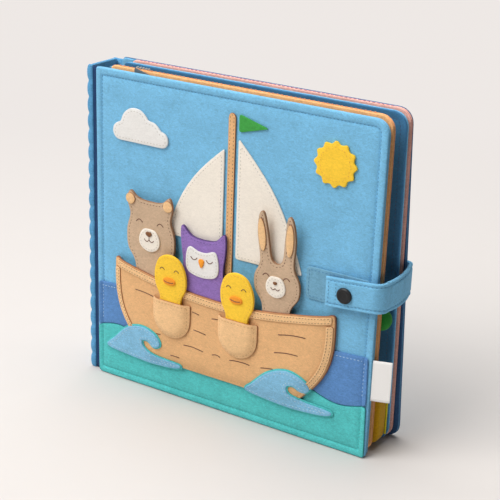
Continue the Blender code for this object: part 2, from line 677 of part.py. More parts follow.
# The press stud: a stud on the tab, and a socket and a cap on the strap
def make_press_stud(cover_body, flap_body):
    snap_z = STRAP_HEIGHT + STRAP_RISE * (SNAP_FROM_END / (COVER_WIDTH - STRAP_END) - 0.5)
    base = -SEAT_GAP - TAB_FELT - SEAT_GAP
    flange = base - SNAP_FLANGE
    nub = flange - SNAP_NUB
    stud = ((0, base), (SNAP_FLANGE_RADIUS, base), (SNAP_FLANGE_RADIUS, flange), (SNAP_NUB_RADIUS, flange),
            (SNAP_NUB_RADIUS, nub), (0, nub))
    turned("snap_stud", stud, SNAP_X, snap_z, cover_body, BLACK, 0.35)
    felt_inside = -STRAP_PROUD + STRAP_HALF
    ring_back = felt_inside + SEAT_GAP
    ring_front = ring_back + SNAP_RING
    hole = SNAP_NUB_RADIUS + SNAP_PLAY
    roof = nub - SEAT_GAP
    socket = ((0, ring_back), (SNAP_RING_RADIUS, ring_back), (SNAP_RING_RADIUS, ring_front),
              (hole, ring_front), (hole, roof), (0, roof))
    turned("snap_socket", socket, SNAP_X, snap_z, flap_body, BLACK, 0.35)
    cap_base = -STRAP_PROUD - STRAP_HALF - SEAT_GAP
    cap = [(0, cap_base)] + [(SNAP_CAP_RADIUS * wide, cap_base - SNAP_CAP_HEIGHT * high)
                             for wide, high in CAP_PROFILE_SHARES]
    turned("snap_cap", cap, SNAP_X, snap_z, flap_body, BLACK, 0.35)


# The picture's flat layers
def water_line(height, swell, count):
    left, right = BAND_LEFT, COVER_WIDTH - BAND_INSET
    line = []
    for step in range(BAND_STEPS + 1):
        share = step / BAND_STEPS
        line.append((left + (right - left) * share, height + swell * math.sin(2 * math.pi * count * share)))
    return line


def make_sea(body):
    right = COVER_WIDTH - BAND_INSET
    sea_top = water_line(SEA_HEIGHT, SEA_SWELL, 1)
    sea_bottom = water_line(WAVE_HEIGHT + SEAT_GAP, WAVE_SWELL, WAVE_COUNT)
    wave_top = water_line(WAVE_HEIGHT, WAVE_SWELL, WAVE_COUNT)
    layer("sea_band", sea_bottom + sea_top[::-1], SEAT_GAP, LAYER_FELT, body, DENIM)
    wave = [(BAND_LEFT, BAND_FOOT), (right, BAND_FOOT)] + wave_top[::-1]
    layer("wave_band", wave, SEAT_GAP, LAYER_FELT, body, TEAL)
    crest_level = HULL_LEVEL + POCKET_DEPTH + LAYER_FELT + SEAT_GAP
    for name, centre in (("wave_crest_left", CREST_LEFT_X), ("wave_crest_right", CREST_RIGHT_X)):
        outline = placed(CREST_SHARES, centre, CREST_BASE, CREST_WIDTH, CREST_HEIGHT)
        layer(name, outline, crest_level, LAYER_FELT, body, FOAM_BLUE)


def make_sky(body):
    cloud = placed(CLOUD_SHARES, CLOUD_X, CLOUD_BASE, CLOUD_WIDTH, CLOUD_HEIGHT)
    layer("cloud", cloud, SEAT_GAP, LAYER_FELT, body, WARM_WHITE)
    sun = []
    for step in range(SUN_RAYS * SUN_RAY_STEPS):
        turn = 2 * math.pi * step / (SUN_RAYS * SUN_RAY_STEPS)
        radius = SUN_RADIUS * (1 + SUN_RAY_SHARE * math.cos(SUN_RAYS * turn))
        sun.append((SUN_X + radius * math.cos(turn), SUN_Z + radius * math.sin(turn)))
    layer("sun", sun, SEAT_GAP, LAYER_FELT, body, YELLOW)


def make_rigging(body):
    half = MAST_WIDTH / 2
    radii = [half * MAST_END_SHARE] * 4
    mast = panel(MAST_X - half, MAST_X + half, MAST_BASE, MAST_TOP, radii, SMALL_CORNER_STEPS)
    layer("mast", mast, SEAT_GAP, LAYER_FELT, body, TAN)
    luff = MAST_X + half + SAIL_GAP
    clew = (luff + LARGE_SAIL_WIDTH, LARGE_SAIL_BASE)
    large = bowed(clew, (luff, LARGE_SAIL_TOP), -SAIL_BOW, SAIL_STEPS) + [(luff, LARGE_SAIL_BASE)]
    layer("large_sail", large, SEAT_GAP, LAYER_FELT, body, CREAM)
    leech = MAST_X - half - SAIL_GAP
    corner = (leech - SMALL_SAIL_WIDTH, SMALL_SAIL_BASE)
    small = bowed((leech, SMALL_SAIL_TOP), corner, -SAIL_BOW, SAIL_STEPS) + [(leech, SMALL_SAIL_BASE)]
    layer("small_sail", small, SEAT_GAP, LAYER_FELT, body, CREAM)
    low = MAST_TOP - FLAG_HEIGHT
    flag = [(luff, low), (luff + FLAG_LENGTH, low + FLAG_HEIGHT / 2), (luff, MAST_TOP)]
    layer("flag", flag, SEAT_GAP, LAYER_FELT, body, GREEN)


# The boat is one deep pocket, and each patch on it holds a duckling
def make_boat(body):
    wall = bowed((HULL_LEFT, HULL_SHEER), (HULL_KEEL_LEFT, HULL_KEEL_Z), -HULL_BOW, HULL_STEPS)
    wall += bowed((HULL_KEEL_RIGHT, HULL_KEEL_Z), (HULL_RIGHT, HULL_SHEER), -HULL_BOW, HULL_STEPS)
    inner = inset_line(wall, POCKET_SEAM)
    mouth = bowed(inner[-1], inner[0], HULL_SAG, HULL_STEPS)[1:-1]
    pocket("hull_pocket", wall, inner, mouth, HULL_LEVEL, POCKET_DEPTH, body, TAN)


def make_patches(body):
    for name, centre in (("patch_left", DUCK_LEFT_X), ("patch_right", DUCK_RIGHT_X)):
        bottom = arc(centre, PATCH_BASE + PATCH_RADIUS, PATCH_RADIUS, 180, 360, PATCH_STEPS)
        top = PATCH_BASE + PATCH_HEIGHT
        wall = [(centre - PATCH_RADIUS, top)] + bottom + [(centre + PATCH_RADIUS, top)]
        inner = inset_line(wall, POCKET_SEAM)
        pocket(name, wall, inner, [], DUCK_LEVEL, POCKET_DEPTH, body, TAN)


# A finger puppet: a front and a back felt, with a face patch on some
def make_puppet(name, shares, centre, base, width, height, level, body, colour):
    outline = mirrored(shares, centre, base, width, height)
    layer(name + "_back", outline, level, PUPPET_FELT, body, colour)
    layer(name + "_front", outline, level + PUPPET_FELT + SEAT_GAP, PUPPET_FELT, body, colour)


def make_puppet_patch(name, shares, centre, base, width, height, level, body, colour):
    outline = mirrored(shares, centre, base, width, height)
    layer(name, outline, level + 2 * PUPPET_FELT + 2 * SEAT_GAP, FACE_FELT, body, colour)


def make_crew(cover):
    level = HULL_LEVEL + SEAT_GAP
    bear = carrier("bear_slide", Vector((BEAR_X, -level, BEAR_BASE)), cover["empty"], cover["point"])
    make_puppet("bear", BEAR_SHARES, BEAR_X, BEAR_BASE, BEAR_WIDTH, BEAR_HEIGHT, level, bear, TAUPE)
    make_puppet_patch("bear_snout", SNOUT_SHARES, BEAR_X, BEAR_BASE + BEAR_HEIGHT * BEAR_SNOUT_SHARE,
                      BEAR_WIDTH * SNOUT_WIDTH_SHARE, BEAR_HEIGHT * SNOUT_HEIGHT_SHARE, level, bear, CREAM)
    owl = carrier("owl_slide", Vector((OWL_X, -level, OWL_BASE)), cover["empty"], cover["point"])
    make_puppet("owl", OWL_SHARES, OWL_X, OWL_BASE, OWL_WIDTH, OWL_HEIGHT, level, owl, PURPLE)
    make_puppet_patch("owl_face", BELLY_SHARES, OWL_X, OWL_BASE + OWL_HEIGHT * OWL_FACE_SHARE,
                      OWL_WIDTH * BELLY_WIDTH_SHARE, OWL_HEIGHT * BELLY_HEIGHT_SHARE, level,
                      owl, WARM_WHITE)
    paws = Vector((RABBIT_X, -level, RABBIT_BASE))
    rabbit = carrier("rabbit_slide", paws, cover["empty"], cover["point"])
    make_puppet("rabbit", RABBIT_SHARES, RABBIT_X, RABBIT_BASE, RABBIT_WIDTH, RABBIT_HEIGHT, level,
                rabbit, TAUPE)
    snout_z = RABBIT_BASE + RABBIT_HEIGHT * RABBIT_SNOUT_SHARE
    snout_width = RABBIT_WIDTH * SNOUT_WIDTH_SHARE
    make_puppet_patch("rabbit_snout", SNOUT_SHARES, RABBIT_X, snout_z, snout_width, snout_width, level,
                      rabbit, CREAM)
    for name, centre in (("duck_left", DUCK_LEFT_X), ("duck_right", DUCK_RIGHT_X)):
        duck_level = DUCK_LEVEL + SEAT_GAP
        foot = Vector((centre, -duck_level, DUCK_BASE))
        duck = carrier(name + "_slide", foot, cover["empty"], cover["point"])
        make_puppet(name, DUCK_SHARES, centre, DUCK_BASE, DUCK_WIDTH, DUCK_HEIGHT, duck_level, duck, YELLOW)


def make_book():
    clear_scene()
    spine = carrier("spine_origin", ORIGIN)
    front = carrier("front_cover_hinge", FRONT_AXIS, spine["empty"], spine["point"])
    back = carrier("back_cover_hinge", BACK_AXIS, spine["empty"], spine["point"])
    side = carrier("strap_side_hinge", SIDE_AXIS, back["empty"], back["point"])
    flap = carrier("strap_flap_hinge", FLAP_AXIS, side["empty"], side["point"])
    pages = [carrier("page_hinge", point, spine["empty"], spine["point"]) for point in PAGE_AXES]
    make_spine_panel(spine)
    make_spine_edges(spine)
    make_cover_hinges(spine)
    make_gutters(spine)
    make_front_cover(front)
    make_back_cover(back)
    make_page("page_one", PAGE_AXES[0], PAGE_ONE_WIDTH, PAGE_ONE_TOP, (ORANGE, ORANGE), pages[0])
    make_page("page_two", PAGE_AXES[1], PAGE_TWO_WIDTH, PAGE_TWO_TOP, (DENIM, SKY), pages[1])
    make_page("page_three", PAGE_AXES[2], PAGE_THREE_WIDTH, PAGE_THREE_TOP, (PINK, PINK), pages[2])
    make_zip(pages[0])
    make_page_pouch(pages[1])
    make_page_ball(pages[1])
    make_side_label(front)
    make_strap(back, side, flap)
    make_stud_tab(front)
    make_press_stud(front, flap)
    make_sea(front)
    make_sky(front)
    make_rigging(front)
    make_boat(front)
    make_patches(front)
    make_crew(front)


make_book()
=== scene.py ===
import math

import bmesh
import bpy
import numpy as np
from mathutils import Matrix, Vector
from mathutils.geometry import delaunay_2d_cdt


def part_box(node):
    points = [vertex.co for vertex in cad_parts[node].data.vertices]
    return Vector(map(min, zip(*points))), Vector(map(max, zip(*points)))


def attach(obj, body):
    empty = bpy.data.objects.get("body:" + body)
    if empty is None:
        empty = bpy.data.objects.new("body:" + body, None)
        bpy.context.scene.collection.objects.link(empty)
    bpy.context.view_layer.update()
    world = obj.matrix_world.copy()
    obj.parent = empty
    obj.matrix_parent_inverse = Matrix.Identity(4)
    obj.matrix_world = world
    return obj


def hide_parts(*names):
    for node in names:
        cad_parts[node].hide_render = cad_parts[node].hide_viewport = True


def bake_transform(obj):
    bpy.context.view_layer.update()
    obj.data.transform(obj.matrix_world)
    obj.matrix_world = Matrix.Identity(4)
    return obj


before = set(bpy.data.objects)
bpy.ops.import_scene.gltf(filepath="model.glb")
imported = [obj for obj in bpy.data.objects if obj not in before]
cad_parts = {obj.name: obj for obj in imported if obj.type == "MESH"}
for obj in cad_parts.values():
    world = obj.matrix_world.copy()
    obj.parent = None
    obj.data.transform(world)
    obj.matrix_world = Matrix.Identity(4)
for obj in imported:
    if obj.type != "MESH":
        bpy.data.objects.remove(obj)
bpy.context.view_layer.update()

# Book coordinates have the front cover's lower spine corner at zero. The frame's origin lies here in them.
ORIGIN = np.array((0.11875333, 0.016, 0.0))
COVER_W, COVER_H = 0.234, 0.240
DEPTH_TOP, LEAN = 0.0345, 0.0080
STRAP_Z = 0.1195
LINE_STEP, LINE_ROUNDING = 0.0012, 0.0008
COVER_STEP = 0.0015
SEAM, PICTURE_SEAM, PAGE_SEAM = 0.0057, 0.0022, 0.0045
SEA_TOP = 0.076
DUCKS = (("left", 0.074), ("right", 0.131))
POCKET_FOOT, POCKET_RADIUS = 0.0500, 0.0165
SIDES = ((-1, "left"), (1, "right"))


def book(points):
    """Book coordinates to the frame's: the origin is taken away from every point."""
    return np.asarray(points, float) - ORIGIN


def lean_at(z):
    """How far the book's back half stands back at a height: all of LEAN at the floor, none at the top."""
    return LEAN * (1 - np.asarray(z) / COVER_H)


def leaning(leans):
    """The shift in y of a piece that leans with the back cover, or none for one that stands upright."""
    return (lambda p: lean_at(p[:, 1])) if leans else (lambda p: np.zeros(len(p)))


def level(y):
    """A flat height: the same y at every point."""
    return lambda p: np.full(len(p), y)


def corners(node):
    """The low and high corner of a CAD node's box, in book coordinates."""
    return [np.array(corner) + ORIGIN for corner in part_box(node)]


# Node groups and materials

def new_group(name, inputs, outputs):
    """An empty shader group with named sockets, given as (name, kind, default)."""
    group = bpy.data.node_groups.new(name, "ShaderNodeTree")
    for label, kind, default in inputs:
        socket = group.interface.new_socket(name=label, in_out="INPUT", socket_type=kind)
        if default is not None:
            socket.default_value = default
    for label, kind in outputs:
        group.interface.new_socket(name=label, in_out="OUTPUT", socket_type=kind)
    return group, group.nodes.new("NodeGroupInput"), group.nodes.new("NodeGroupOutput")


def add_node(tree, kind, inputs, **settings):
    """A node with its settings, and its inputs by name or number: linked to a socket,
    or set to a plain value."""
    node = tree.nodes.new(kind)
    for label, value in settings.items():
        setattr(node, label, value)
    for slot, value in inputs.items():
        if isinstance(value, bpy.types.NodeSocket):
            tree.links.new(value, node.inputs[slot])
        else:
            node.inputs[slot].default_value = value
    return node


def noise(tree, vector, scale, detail=3.0, rough=0.55, distortion=0.0):
    """A noise texture read at a vector socket."""
    return add_node(tree, "ShaderNodeTexNoise", {"Scale": scale, "Detail": detail, "Roughness": rough,
                                                 "Distortion": distortion, "Vector": vector}).outputs["Fac"]


def sums(tree, operation, first, second):
    """A math node on two sockets or numbers."""
    return add_node(tree, "ShaderNodeMath", {0: first, 1: second}, operation=operation).outputs[0]


def spread(tree, value, low, high, to_low, to_high):
    """A value brought from one range to another, held at its ends."""
    return add_node(tree, "ShaderNodeMapRange", {"Value": value, "From Min": low, "From Max": high,
                                                 "To Min": to_low, "To Max": to_high}).outputs["Result"]


def plain(tree, colour):
    """A plain colour as a socket."""
    node = tree.nodes.new("ShaderNodeRGB")
    node.outputs[0].default_value = (*colour, 1)
    return node.outputs[0]


def scaled(tree, colour, factor):
    """A colour times a factor."""
    return add_node(tree, "ShaderNodeVectorMath", {0: colour, "Scale": factor}, operation="SCALE").outputs[0]


def fibre_group():
    """Pressed felt: broad clouds, tangled fibres, combed a little along X, and a fine fuzz, as a colour
    and a height."""
    group, given, out = new_group("felt_fibres", (("Vector", "NodeSocketVector", None),
                                                  ("Colour", "NodeSocketColor", (1, 1, 1, 1)),
                                                  ("Mottle", "NodeSocketFloat", 0.16)),
                                  (("Colour", "NodeSocketColor"), ("Height", "NodeSocketFloat")))
    where = given.outputs["Vector"]
    cloud = noise(group, where, 60, 2)
    combed = add_node(group, "ShaderNodeVectorMath", {0: where, 1: (0.6, 1.0, 1.2)},
                      operation="MULTIPLY").outputs[0]
    tangle = noise(group, combed, 520, 4, 0.62, 1.6)
    fibre = noise(group, where, 1500, 3, 0.6, 2.2)
    fuzz = noise(group, where, 3600, 2)
    body = sums(group, "ADD", sums(group, "MULTIPLY", tangle, 0.5), sums(group, "MULTIPLY", fibre, 0.35))
    body = sums(group, "ADD", body, sums(group, "MULTIPLY", cloud, 0.15))
    low = sums(group, "SUBTRACT", 1.0, given.outputs["Mottle"])
    high = sums(group, "ADD", 1.0, given.outputs["Mottle"])
    shade = spread(group, body, 0.40, 0.60, low, high)
    group.links.new(scaled(group, given.outputs["Colour"], shade), out.inputs["Colour"])
    height = sums(group, "ADD", sums(group, "MULTIPLY", body, 0.7), sums(group, "MULTIPLY", fuzz, 0.3))
    group.links.new(height, out.inputs["Height"])
    return group


def weave_group():
    """Woven tape: two crossed bands of threads, as a height and a shade."""
    group, given, out = new_group("woven_tape", (("Vector", "NodeSocketVector", None),
                                                 ("Threads", "NodeSocketFloat", 1800.0)),
                                  (("Height", "NodeSocketFloat"), ("Shade", "NodeSocketFloat")))
    axes = add_node(group, "ShaderNodeSeparateXYZ", {0: given.outputs["Vector"]})
    across = sums(group, "ADD", axes.outputs["X"], axes.outputs["Y"])
    warp = sums(group, "SINE", sums(group, "MULTIPLY", across, given.outputs["Threads"]), 0.0)
    weft = sums(group, "SINE", sums(group, "MULTIPLY", axes.outputs["Z"], given.outputs["Threads"]), 0.0)
    height = sums(group, "MULTIPLY", warp, weft)
    group.links.new(height, out.inputs["Height"])
    group.links.new(spread(group, height, -1.0, 1.0, 0.9, 1.05), out.inputs["Shade"])
    return group


FIBRES = fibre_group()
WEAVE = weave_group()
SIDE_SHADE_REACH = 0.0006


def bare_material(name, roughness):
    """A material with its Principled shader, and Object coordinates ready."""
    made = bpy.data.materials.new(name)
    made.use_nodes = True
    tree = made.node_tree
    shader = tree.nodes["Principled BSDF"]
    shader.inputs["Roughness"].default_value = roughness
    where = tree.nodes.new("ShaderNodeTexCoord").outputs["Object"]
    return made, tree, shader, where


def add_bump(tree, shader, height, strength, distance):
    """A bump from a height, into the shader's normal."""
    bump = add_node(tree, "ShaderNodeBump", {"Strength": strength, "Distance": distance, "Height": height})
    tree.links.new(bump.outputs["Normal"], shader.inputs["Normal"])


def felt_finish(name, colour, cut=None, mottle=0.20, shaded_side=None):
    """Matte pressed felt. Where the piece's cut attribute is 1, the rim has the cut colour: on some felts a
    singed edge, on others painted shade, on the tan hull both. The last argument gives the Object x beyond
    which the fore-edge side is darkened as painted shade, and how dark it is there."""
    made, tree, shader, where = bare_material(name, 0.94)
    tone = (*colour, 1)
    if cut:
        edge = add_node(tree, "ShaderNodeAttribute", {}, attribute_name="cut")
        tone = add_node(tree, "ShaderNodeMix", {"Factor": edge.outputs["Fac"], "A": tone, "B": (*cut, 1)},
                        data_type="RGBA").outputs["Result"]
    fibres = add_node(tree, "ShaderNodeGroup", {"Vector": where, "Mottle": mottle, "Colour": tone},
                      node_tree=FIBRES)
    shade = fibres.outputs["Colour"]
    # Painted shade: the fore-edge side, beyond an Object x, is darkened for the shade it lies in.
    if shaded_side:
        axes = add_node(tree, "ShaderNodeSeparateXYZ", {0: where})
        side_shade = spread(tree, axes.outputs["X"], shaded_side[0] - SIDE_SHADE_REACH, shaded_side[0], 1.0, shaded_side[1])
        shade = scaled(tree, shade, side_shade)
    tree.links.new(shade, shader.inputs["Base Color"])
    shader.inputs["Specular IOR Level"].default_value = 0.2
    shader.inputs["Sheen Weight"].default_value = 0.12
    shader.inputs["Sheen Roughness"].default_value = 0.6
    shader.inputs["Sheen Tint"].default_value = (*[min(1.0, 0.5 + c * 0.6) for c in colour], 1)
    add_bump(tree, shader, fibres.outputs["Height"], 0.5, 0.0004)
    return made


def thread_finish(name, colour):
    """Twisted sewing thread: a little gloss, and fine shade changes along it."""
    made, tree, shader, where = bare_material(name, 0.6)
    ply = noise(tree, where, 2600, 2, 0.5, 0.8)
    shade = spread(tree, ply, 0.35, 0.65, 0.8, 1.15)
    tree.links.new(scaled(tree, plain(tree, colour), shade), shader.inputs["Base Color"])
    shader.inputs["Sheen Weight"].default_value = 0.15
    add_bump(tree, shader, ply, 0.4, 0.0001)
    return made


def tape_finish(name, colour, threads, roughness):
    """Woven tape, with its threads as colour and bump."""
    made, tree, shader, where = bare_material(name, roughness)
    weave = add_node(tree, "ShaderNodeGroup", {"Vector": where, "Threads": threads}, node_tree=WEAVE)
    tree.links.new(scaled(tree, plain(tree, colour), weave.outputs["Shade"]), shader.inputs["Base Color"])
    add_bump(tree, shader, weave.outputs["Height"], 0.3, 0.00008)
    return made


def snap_finish():
    """Moulded black plastic, satin, with a faint bloom of wear in its gloss."""
    made, tree, shader, where = bare_material("press_stud_plastic", 0.32)
    shader.inputs["Specular IOR Level"].default_value = 0.32
    wear = noise(tree, where, 900, 4, 0.6, 0.4)
    tree.links.new(spread(tree, wear, 0.3, 0.7, 0.30, 0.48), shader.inputs["Roughness"])
    shade = spread(tree, wear, 0.3, 0.7, 0.8, 1.3)
    tree.links.new(scaled(tree, plain(tree, (0.007, 0.0075, 0.009)), shade), shader.inputs["Base Color"])
    add_bump(tree, shader, wear, 0.08, 0.0001)
    return made


# The tan felt's cut edge: the real singe of laser cutting, darkened further as painted shade on the side
# away from the light.
SINGED_SHADED_EDGE = (0.23, 0.065, 0.035)
SKY = felt_finish("sky_felt", (0.185, 0.480, 0.730), mottle=0.17)
# The sky felt again, with the cover's right edge side darkened as painted shade.
COVER_SKY = felt_finish("cover_sky_felt", (0.185, 0.480, 0.730), mottle=0.17, shaded_side=(0.1150, 0.6))
# The stud tab's sky felt, darkened as painted shade for the shadow it lies in beside the strap.
SHADED_TAB_BLUE = felt_finish("tab_felt", (0.165, 0.38, 0.54), mottle=0.17)
# Page two's front blue, darkened as painted shade for the deep gap between the pages where it shows.
SHADED_PAGE_BLUE = felt_finish("page_blue_felt", (0.047, 0.185, 0.375))
# A near-black blue sheet for the front hinge's valley: painted shade for the groove.
GROOVE_SHADE = felt_finish("groove_shade_felt", (0.012, 0.045, 0.13))
SPINE_BLUE = felt_finish("spine_felt", (0.10, 0.33, 0.58))
DENIM = felt_finish("denim_felt", (0.10, 0.245, 0.53))
# The back lining's blue, darkened to navy as painted shade where the pages shade it.
NAVY = felt_finish("navy_felt", (0.032, 0.095, 0.22))
# The back cover's darker rim is painted shade on its edge.
BACK_SKY = felt_finish("back_sky_felt", (0.185, 0.480, 0.730), cut=(0.045, 0.11, 0.24), mottle=0.17)
TEAL = felt_finish("teal_felt", (0.09, 0.54, 0.54))
# The wave band's darker rim is painted shade, the dark line along the cover's foot.
WAVE_TEAL = felt_finish("wave_teal_felt", (0.09, 0.54, 0.54), cut=(0.02, 0.20, 0.23))
FOAM = felt_finish("foam_felt", (0.225, 0.50, 0.72))
TAN = felt_finish("tan_felt", (0.76, 0.445, 0.21), cut=SINGED_SHADED_EDGE, mottle=0.13)
PALE_TAN = felt_finish("pale_tan_felt", (0.83, 0.53, 0.27), cut=(0.36, 0.13, 0.05), mottle=0.13)
CREAM = felt_finish("cream_felt", (0.86, 0.80, 0.71), mottle=0.06)
WHITE = felt_finish("white_felt", (0.80, 0.79, 0.77), mottle=0.06)
YELLOW = felt_finish("yellow_felt", (0.95, 0.60, 0.045), mottle=0.11)
TAUPE = felt_finish("taupe_felt", (0.56, 0.40, 0.27), cut=(0.28, 0.13, 0.06), mottle=0.14)
PURPLE = felt_finish("purple_felt", (0.27, 0.16, 0.46), cut=(0.06, 0.03, 0.12))
# The orange and pink pages have their fore-edge sides darkened as painted shade.
ORANGE = felt_finish("orange_felt", (0.92, 0.46, 0.20), shaded_side=(0.1150, 0.6))
PINK = felt_finish("pink_felt", (0.86, 0.46, 0.39), shaded_side=(0.1172, 0.7))
OLIVE = felt_finish("olive_felt", (0.46, 0.26, 0.003))
LIME = felt_finish("lime_felt", (0.62, 0.55, 0.02))
GREEN = felt_finish("green_felt", (0.05, 0.34, 0.06))
# The ball's green, darkened as painted shade for the shade it sits in at the fore-edge.
DARK_GREEN = felt_finish("dark_green_felt", (0.015, 0.20, 0.025))
BEAK = felt_finish("beak_felt", (0.90, 0.33, 0.03), mottle=0.11)
BROWN = felt_finish("brown_felt", (0.20, 0.085, 0.035))
BLUE_THREAD = thread_finish("blue_thread", (0.065, 0.235, 0.43))
LIGHT_THREAD = thread_finish("light_thread", (0.42, 0.60, 0.74))
TEAL_THREAD = thread_finish("teal_thread", (0.05, 0.36, 0.36))
TAN_THREAD = thread_finish("tan_thread", (0.62, 0.35, 0.15))
BROWN_THREAD = thread_finish("brown_thread", (0.13, 0.045, 0.02))
PALE_THREAD = thread_finish("pale_thread", (0.50, 0.465, 0.415))
GOLD_THREAD = thread_finish("gold_thread", (0.80, 0.42, 0.03))
PURPLE_THREAD = thread_finish("purple_thread", (0.13, 0.07, 0.27))
ORANGE_THREAD = thread_finish("orange_thread", (0.75, 0.33, 0.13))
PINK_THREAD = thread_finish("pink_thread", (0.45, 0.22, 0.36))
NAVY_THREAD = thread_finish("navy_thread", (0.035, 0.085, 0.20))
LABEL_TAPE = tape_finish("label_tape", (0.97, 0.96, 0.945), 5200, 0.55)
ZIP_TAPE = tape_finish("zip_tape_weave", (0.10, 0.135, 0.16), 4200, 0.75)
SNAP = snap_finish()


# Lines

def arc_length(path):
    """The summed length along a path at each of its points."""
    return np.concatenate(((0,), np.cumsum(np.linalg.norm(np.diff(path, axis=0), axis=1))))


def read_at(path, along, at):
    """Points of a path at given lengths along it."""
    return np.stack([np.interp(at, along, path[:, k]) for k in range(path.shape[1])], axis=1)


def unit(vectors):
    """Vectors brought to length 1."""
    return vectors / (np.linalg.norm(vectors, axis=1, keepdims=True) + 1e-12)


def path_of(*parts):
    """A path from its coordinates, each an array or one number for the whole path."""
    return np.column_stack(np.broadcast_arrays(*parts))


def resampled(line, spacing=LINE_STEP, rounding=0.0):
    """A closed line at even steps: the arc length is summed along it and read back at equal distances.
    Its corners are then rounded by a running mean over about the rounding's length."""
    line = np.asarray(line, float)
    closed = np.vstack((line, line[:1]))
    along = arc_length(closed)
    count = max(int(round(along[-1] / spacing)), 12)
    even = read_at(closed, along, np.linspace(0, along[-1], count, endpoint=False))
    reach = int(round(rounding / spacing))
    if reach:
        shifts = range(-reach, reach + 1)
        weights = np.array([1 + math.cos(math.pi * s / (reach + 1)) for s in shifts])
        even = sum(w * np.roll(even, s, axis=0) for w, s in zip(weights / weights.sum(), shifts))
    return even


def even_path(path, spacing):
    """An open path at even steps, by its summed arc length."""
    path = np.asarray(path, float)
    along = arc_length(path)
    return read_at(path, along, np.linspace(0, along[-1], max(int(round(along[-1] / spacing)), 2) + 1))


def inward(line):
    """Unit normals that point into an anticlockwise closed line:
    each tangent turned a quarter to the left."""
    tangent = unit(np.roll(line, -1, axis=0) - np.roll(line, 1, axis=0))
    return np.stack((-tangent[:, 1], tangent[:, 0]), axis=1)


def distance(points, line, closed=True):
    """Shortest distance from each point to a line, over all its segments at once."""
    start = line if closed else line[:-1]
    end = np.roll(line, -1, axis=0) if closed else line[1:]
    best = np.full(len(points), np.inf)
    span = end - start
    length = (span ** 2).sum(axis=1) + 1e-18
    for part in range(0, len(points), 4000):
        p = points[part:part + 4000, None, :]
        share = np.clip(((p - start) * span).sum(axis=2) / length, 0, 1)
        gap = p - (start + share[..., None] * span)
        best[part:part + 4000] = np.sqrt((gap ** 2).sum(axis=2)).min(axis=1)
    return best


def inside(points, line):
    """True where a point lies inside a closed line, by counting the sides that a ray crosses."""
    x0, z0 = line[:, 0], line[:, 1]
    x1, z1 = np.roll(x0, -1), np.roll(z0, -1)
    px, pz = points[:, 0:1], points[:, 1:2]
    crosses = (z0 > pz) != (z1 > pz)
    at = x0 + (pz - z0) * (x1 - x0) / np.where(z1 == z0, 1e-12, z1 - z0)
    return (crosses & (px < at)).sum(axis=1) % 2 == 1


def groove(gap, at, width, depth):
    """A sewn groove: its depth times the bell curve of how far a gap is from the groove's place."""
    return depth * np.exp(-((gap - at) / width) ** 2)


def swelling(gap, reach, power=1.6):
    """How far a padded felt has swollen at a gap from its sewn line: from 0 there to 1 well inside."""
    return 1 - np.exp(-(gap / reach) ** power)


def anticlockwise(line):
    """The line, turned round if its signed area is below zero."""
    x, z = line[:, 0], line[:, 1]
    area = (x * np.roll(z, -1) - np.roll(x, -1) * z).sum()
    return line if area > 0 else line[::-1].copy()


def ellipse(cx, cz, rx, rz, turn=0.0, count=40):
    """A closed ellipse: cosine and sine of the turn round it times its two radii, then turned."""
    t = np.linspace(0, 2 * math.pi, count, endpoint=False)
    x, z = rx * np.cos(t), rz * np.sin(t)
    return np.stack((cx + x * math.cos(turn) - z * math.sin(turn),
                     cz + x * math.sin(turn) + z * math.cos(turn)), axis=1)


def spline(points, steps=8):
    """A smooth closed line through points: each stretch is the Catmull-Rom cubic of its four nearest
    points."""
    p = np.asarray(points, float)
    t = np.linspace(0, 1, steps, endpoint=False)[None, :, None]
    a, b, c, d = (np.roll(p, shift, 0)[:, None, :] for shift in (1, 0, -1, -2))
    square, cube = 2 * a - 5 * b + 4 * c - d, 3 * b - a - 3 * c + d
    line = 0.5 * (2 * b + (c - a) * t + square * t ** 2 + cube * t ** 3)
    return line.reshape(-1, p.shape[1])


def cad_outline(node):
    """The closed line in X and Z round a flat CAD node: the free sides of its triangles that face
    the front, joined end to end, in book coordinates."""
    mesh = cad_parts[node].data
    mesh.calc_loop_triangles()
    points = np.empty(len(mesh.vertices) * 3)
    mesh.vertices.foreach_get("co", points)
    points = points.reshape(-1, 3) + ORIGIN
    tris = np.empty(len(mesh.loop_triangles) * 3, int)
    mesh.loop_triangles.foreach_get("vertices", tris)
    places, same = np.unique(np.round(points, 6), axis=0, return_inverse=True)
    tris = same.ravel()[tris.reshape(-1, 3)]
    a, b, c = (places[tris[:, k]] for k in range(3))
    facing = np.cross(b - a, c - a)
    facing /= np.linalg.norm(facing, axis=1, keepdims=True) + 1e-15
    front = tris[facing[:, 1] < -0.8]
    sides = {(int(t[k]), int(t[(k + 1) % 3])) for t in front for k in range(3)}
    following = {s: e for s, e in sides if (e, s) not in sides}
    start = at = next(iter(following))
    chain = [start]
    while following[at] != start:
        at = following[at]
        chain.append(at)
    return anticlockwise(places[chain][:, (0, 2)])


# Meshes

def slab_faces(rows, cols):
    """Faces of a slab of two grids, each of rows by cols points: both its sides,
    and the rim between them."""
    r, c = np.meshgrid(np.arange(rows - 1), np.arange(cols - 1), indexing="ij")
    a = (r * cols + c).ravel()
    quad = np.column_stack((a, a + 1, a + 1 + cols, a + cols))
    count = rows * cols
    rim = np.concatenate((np.arange(cols), np.arange(1, rows) * cols + cols - 1,
                          (rows - 1) * cols + np.arange(cols - 2, -1, -1),
                          np.arange(rows - 2, 0, -1) * cols))
    after = np.roll(rim, -1)
    return [quad, quad[:, ::-1] + count, np.column_stack((after, rim, rim + count, after + count))]


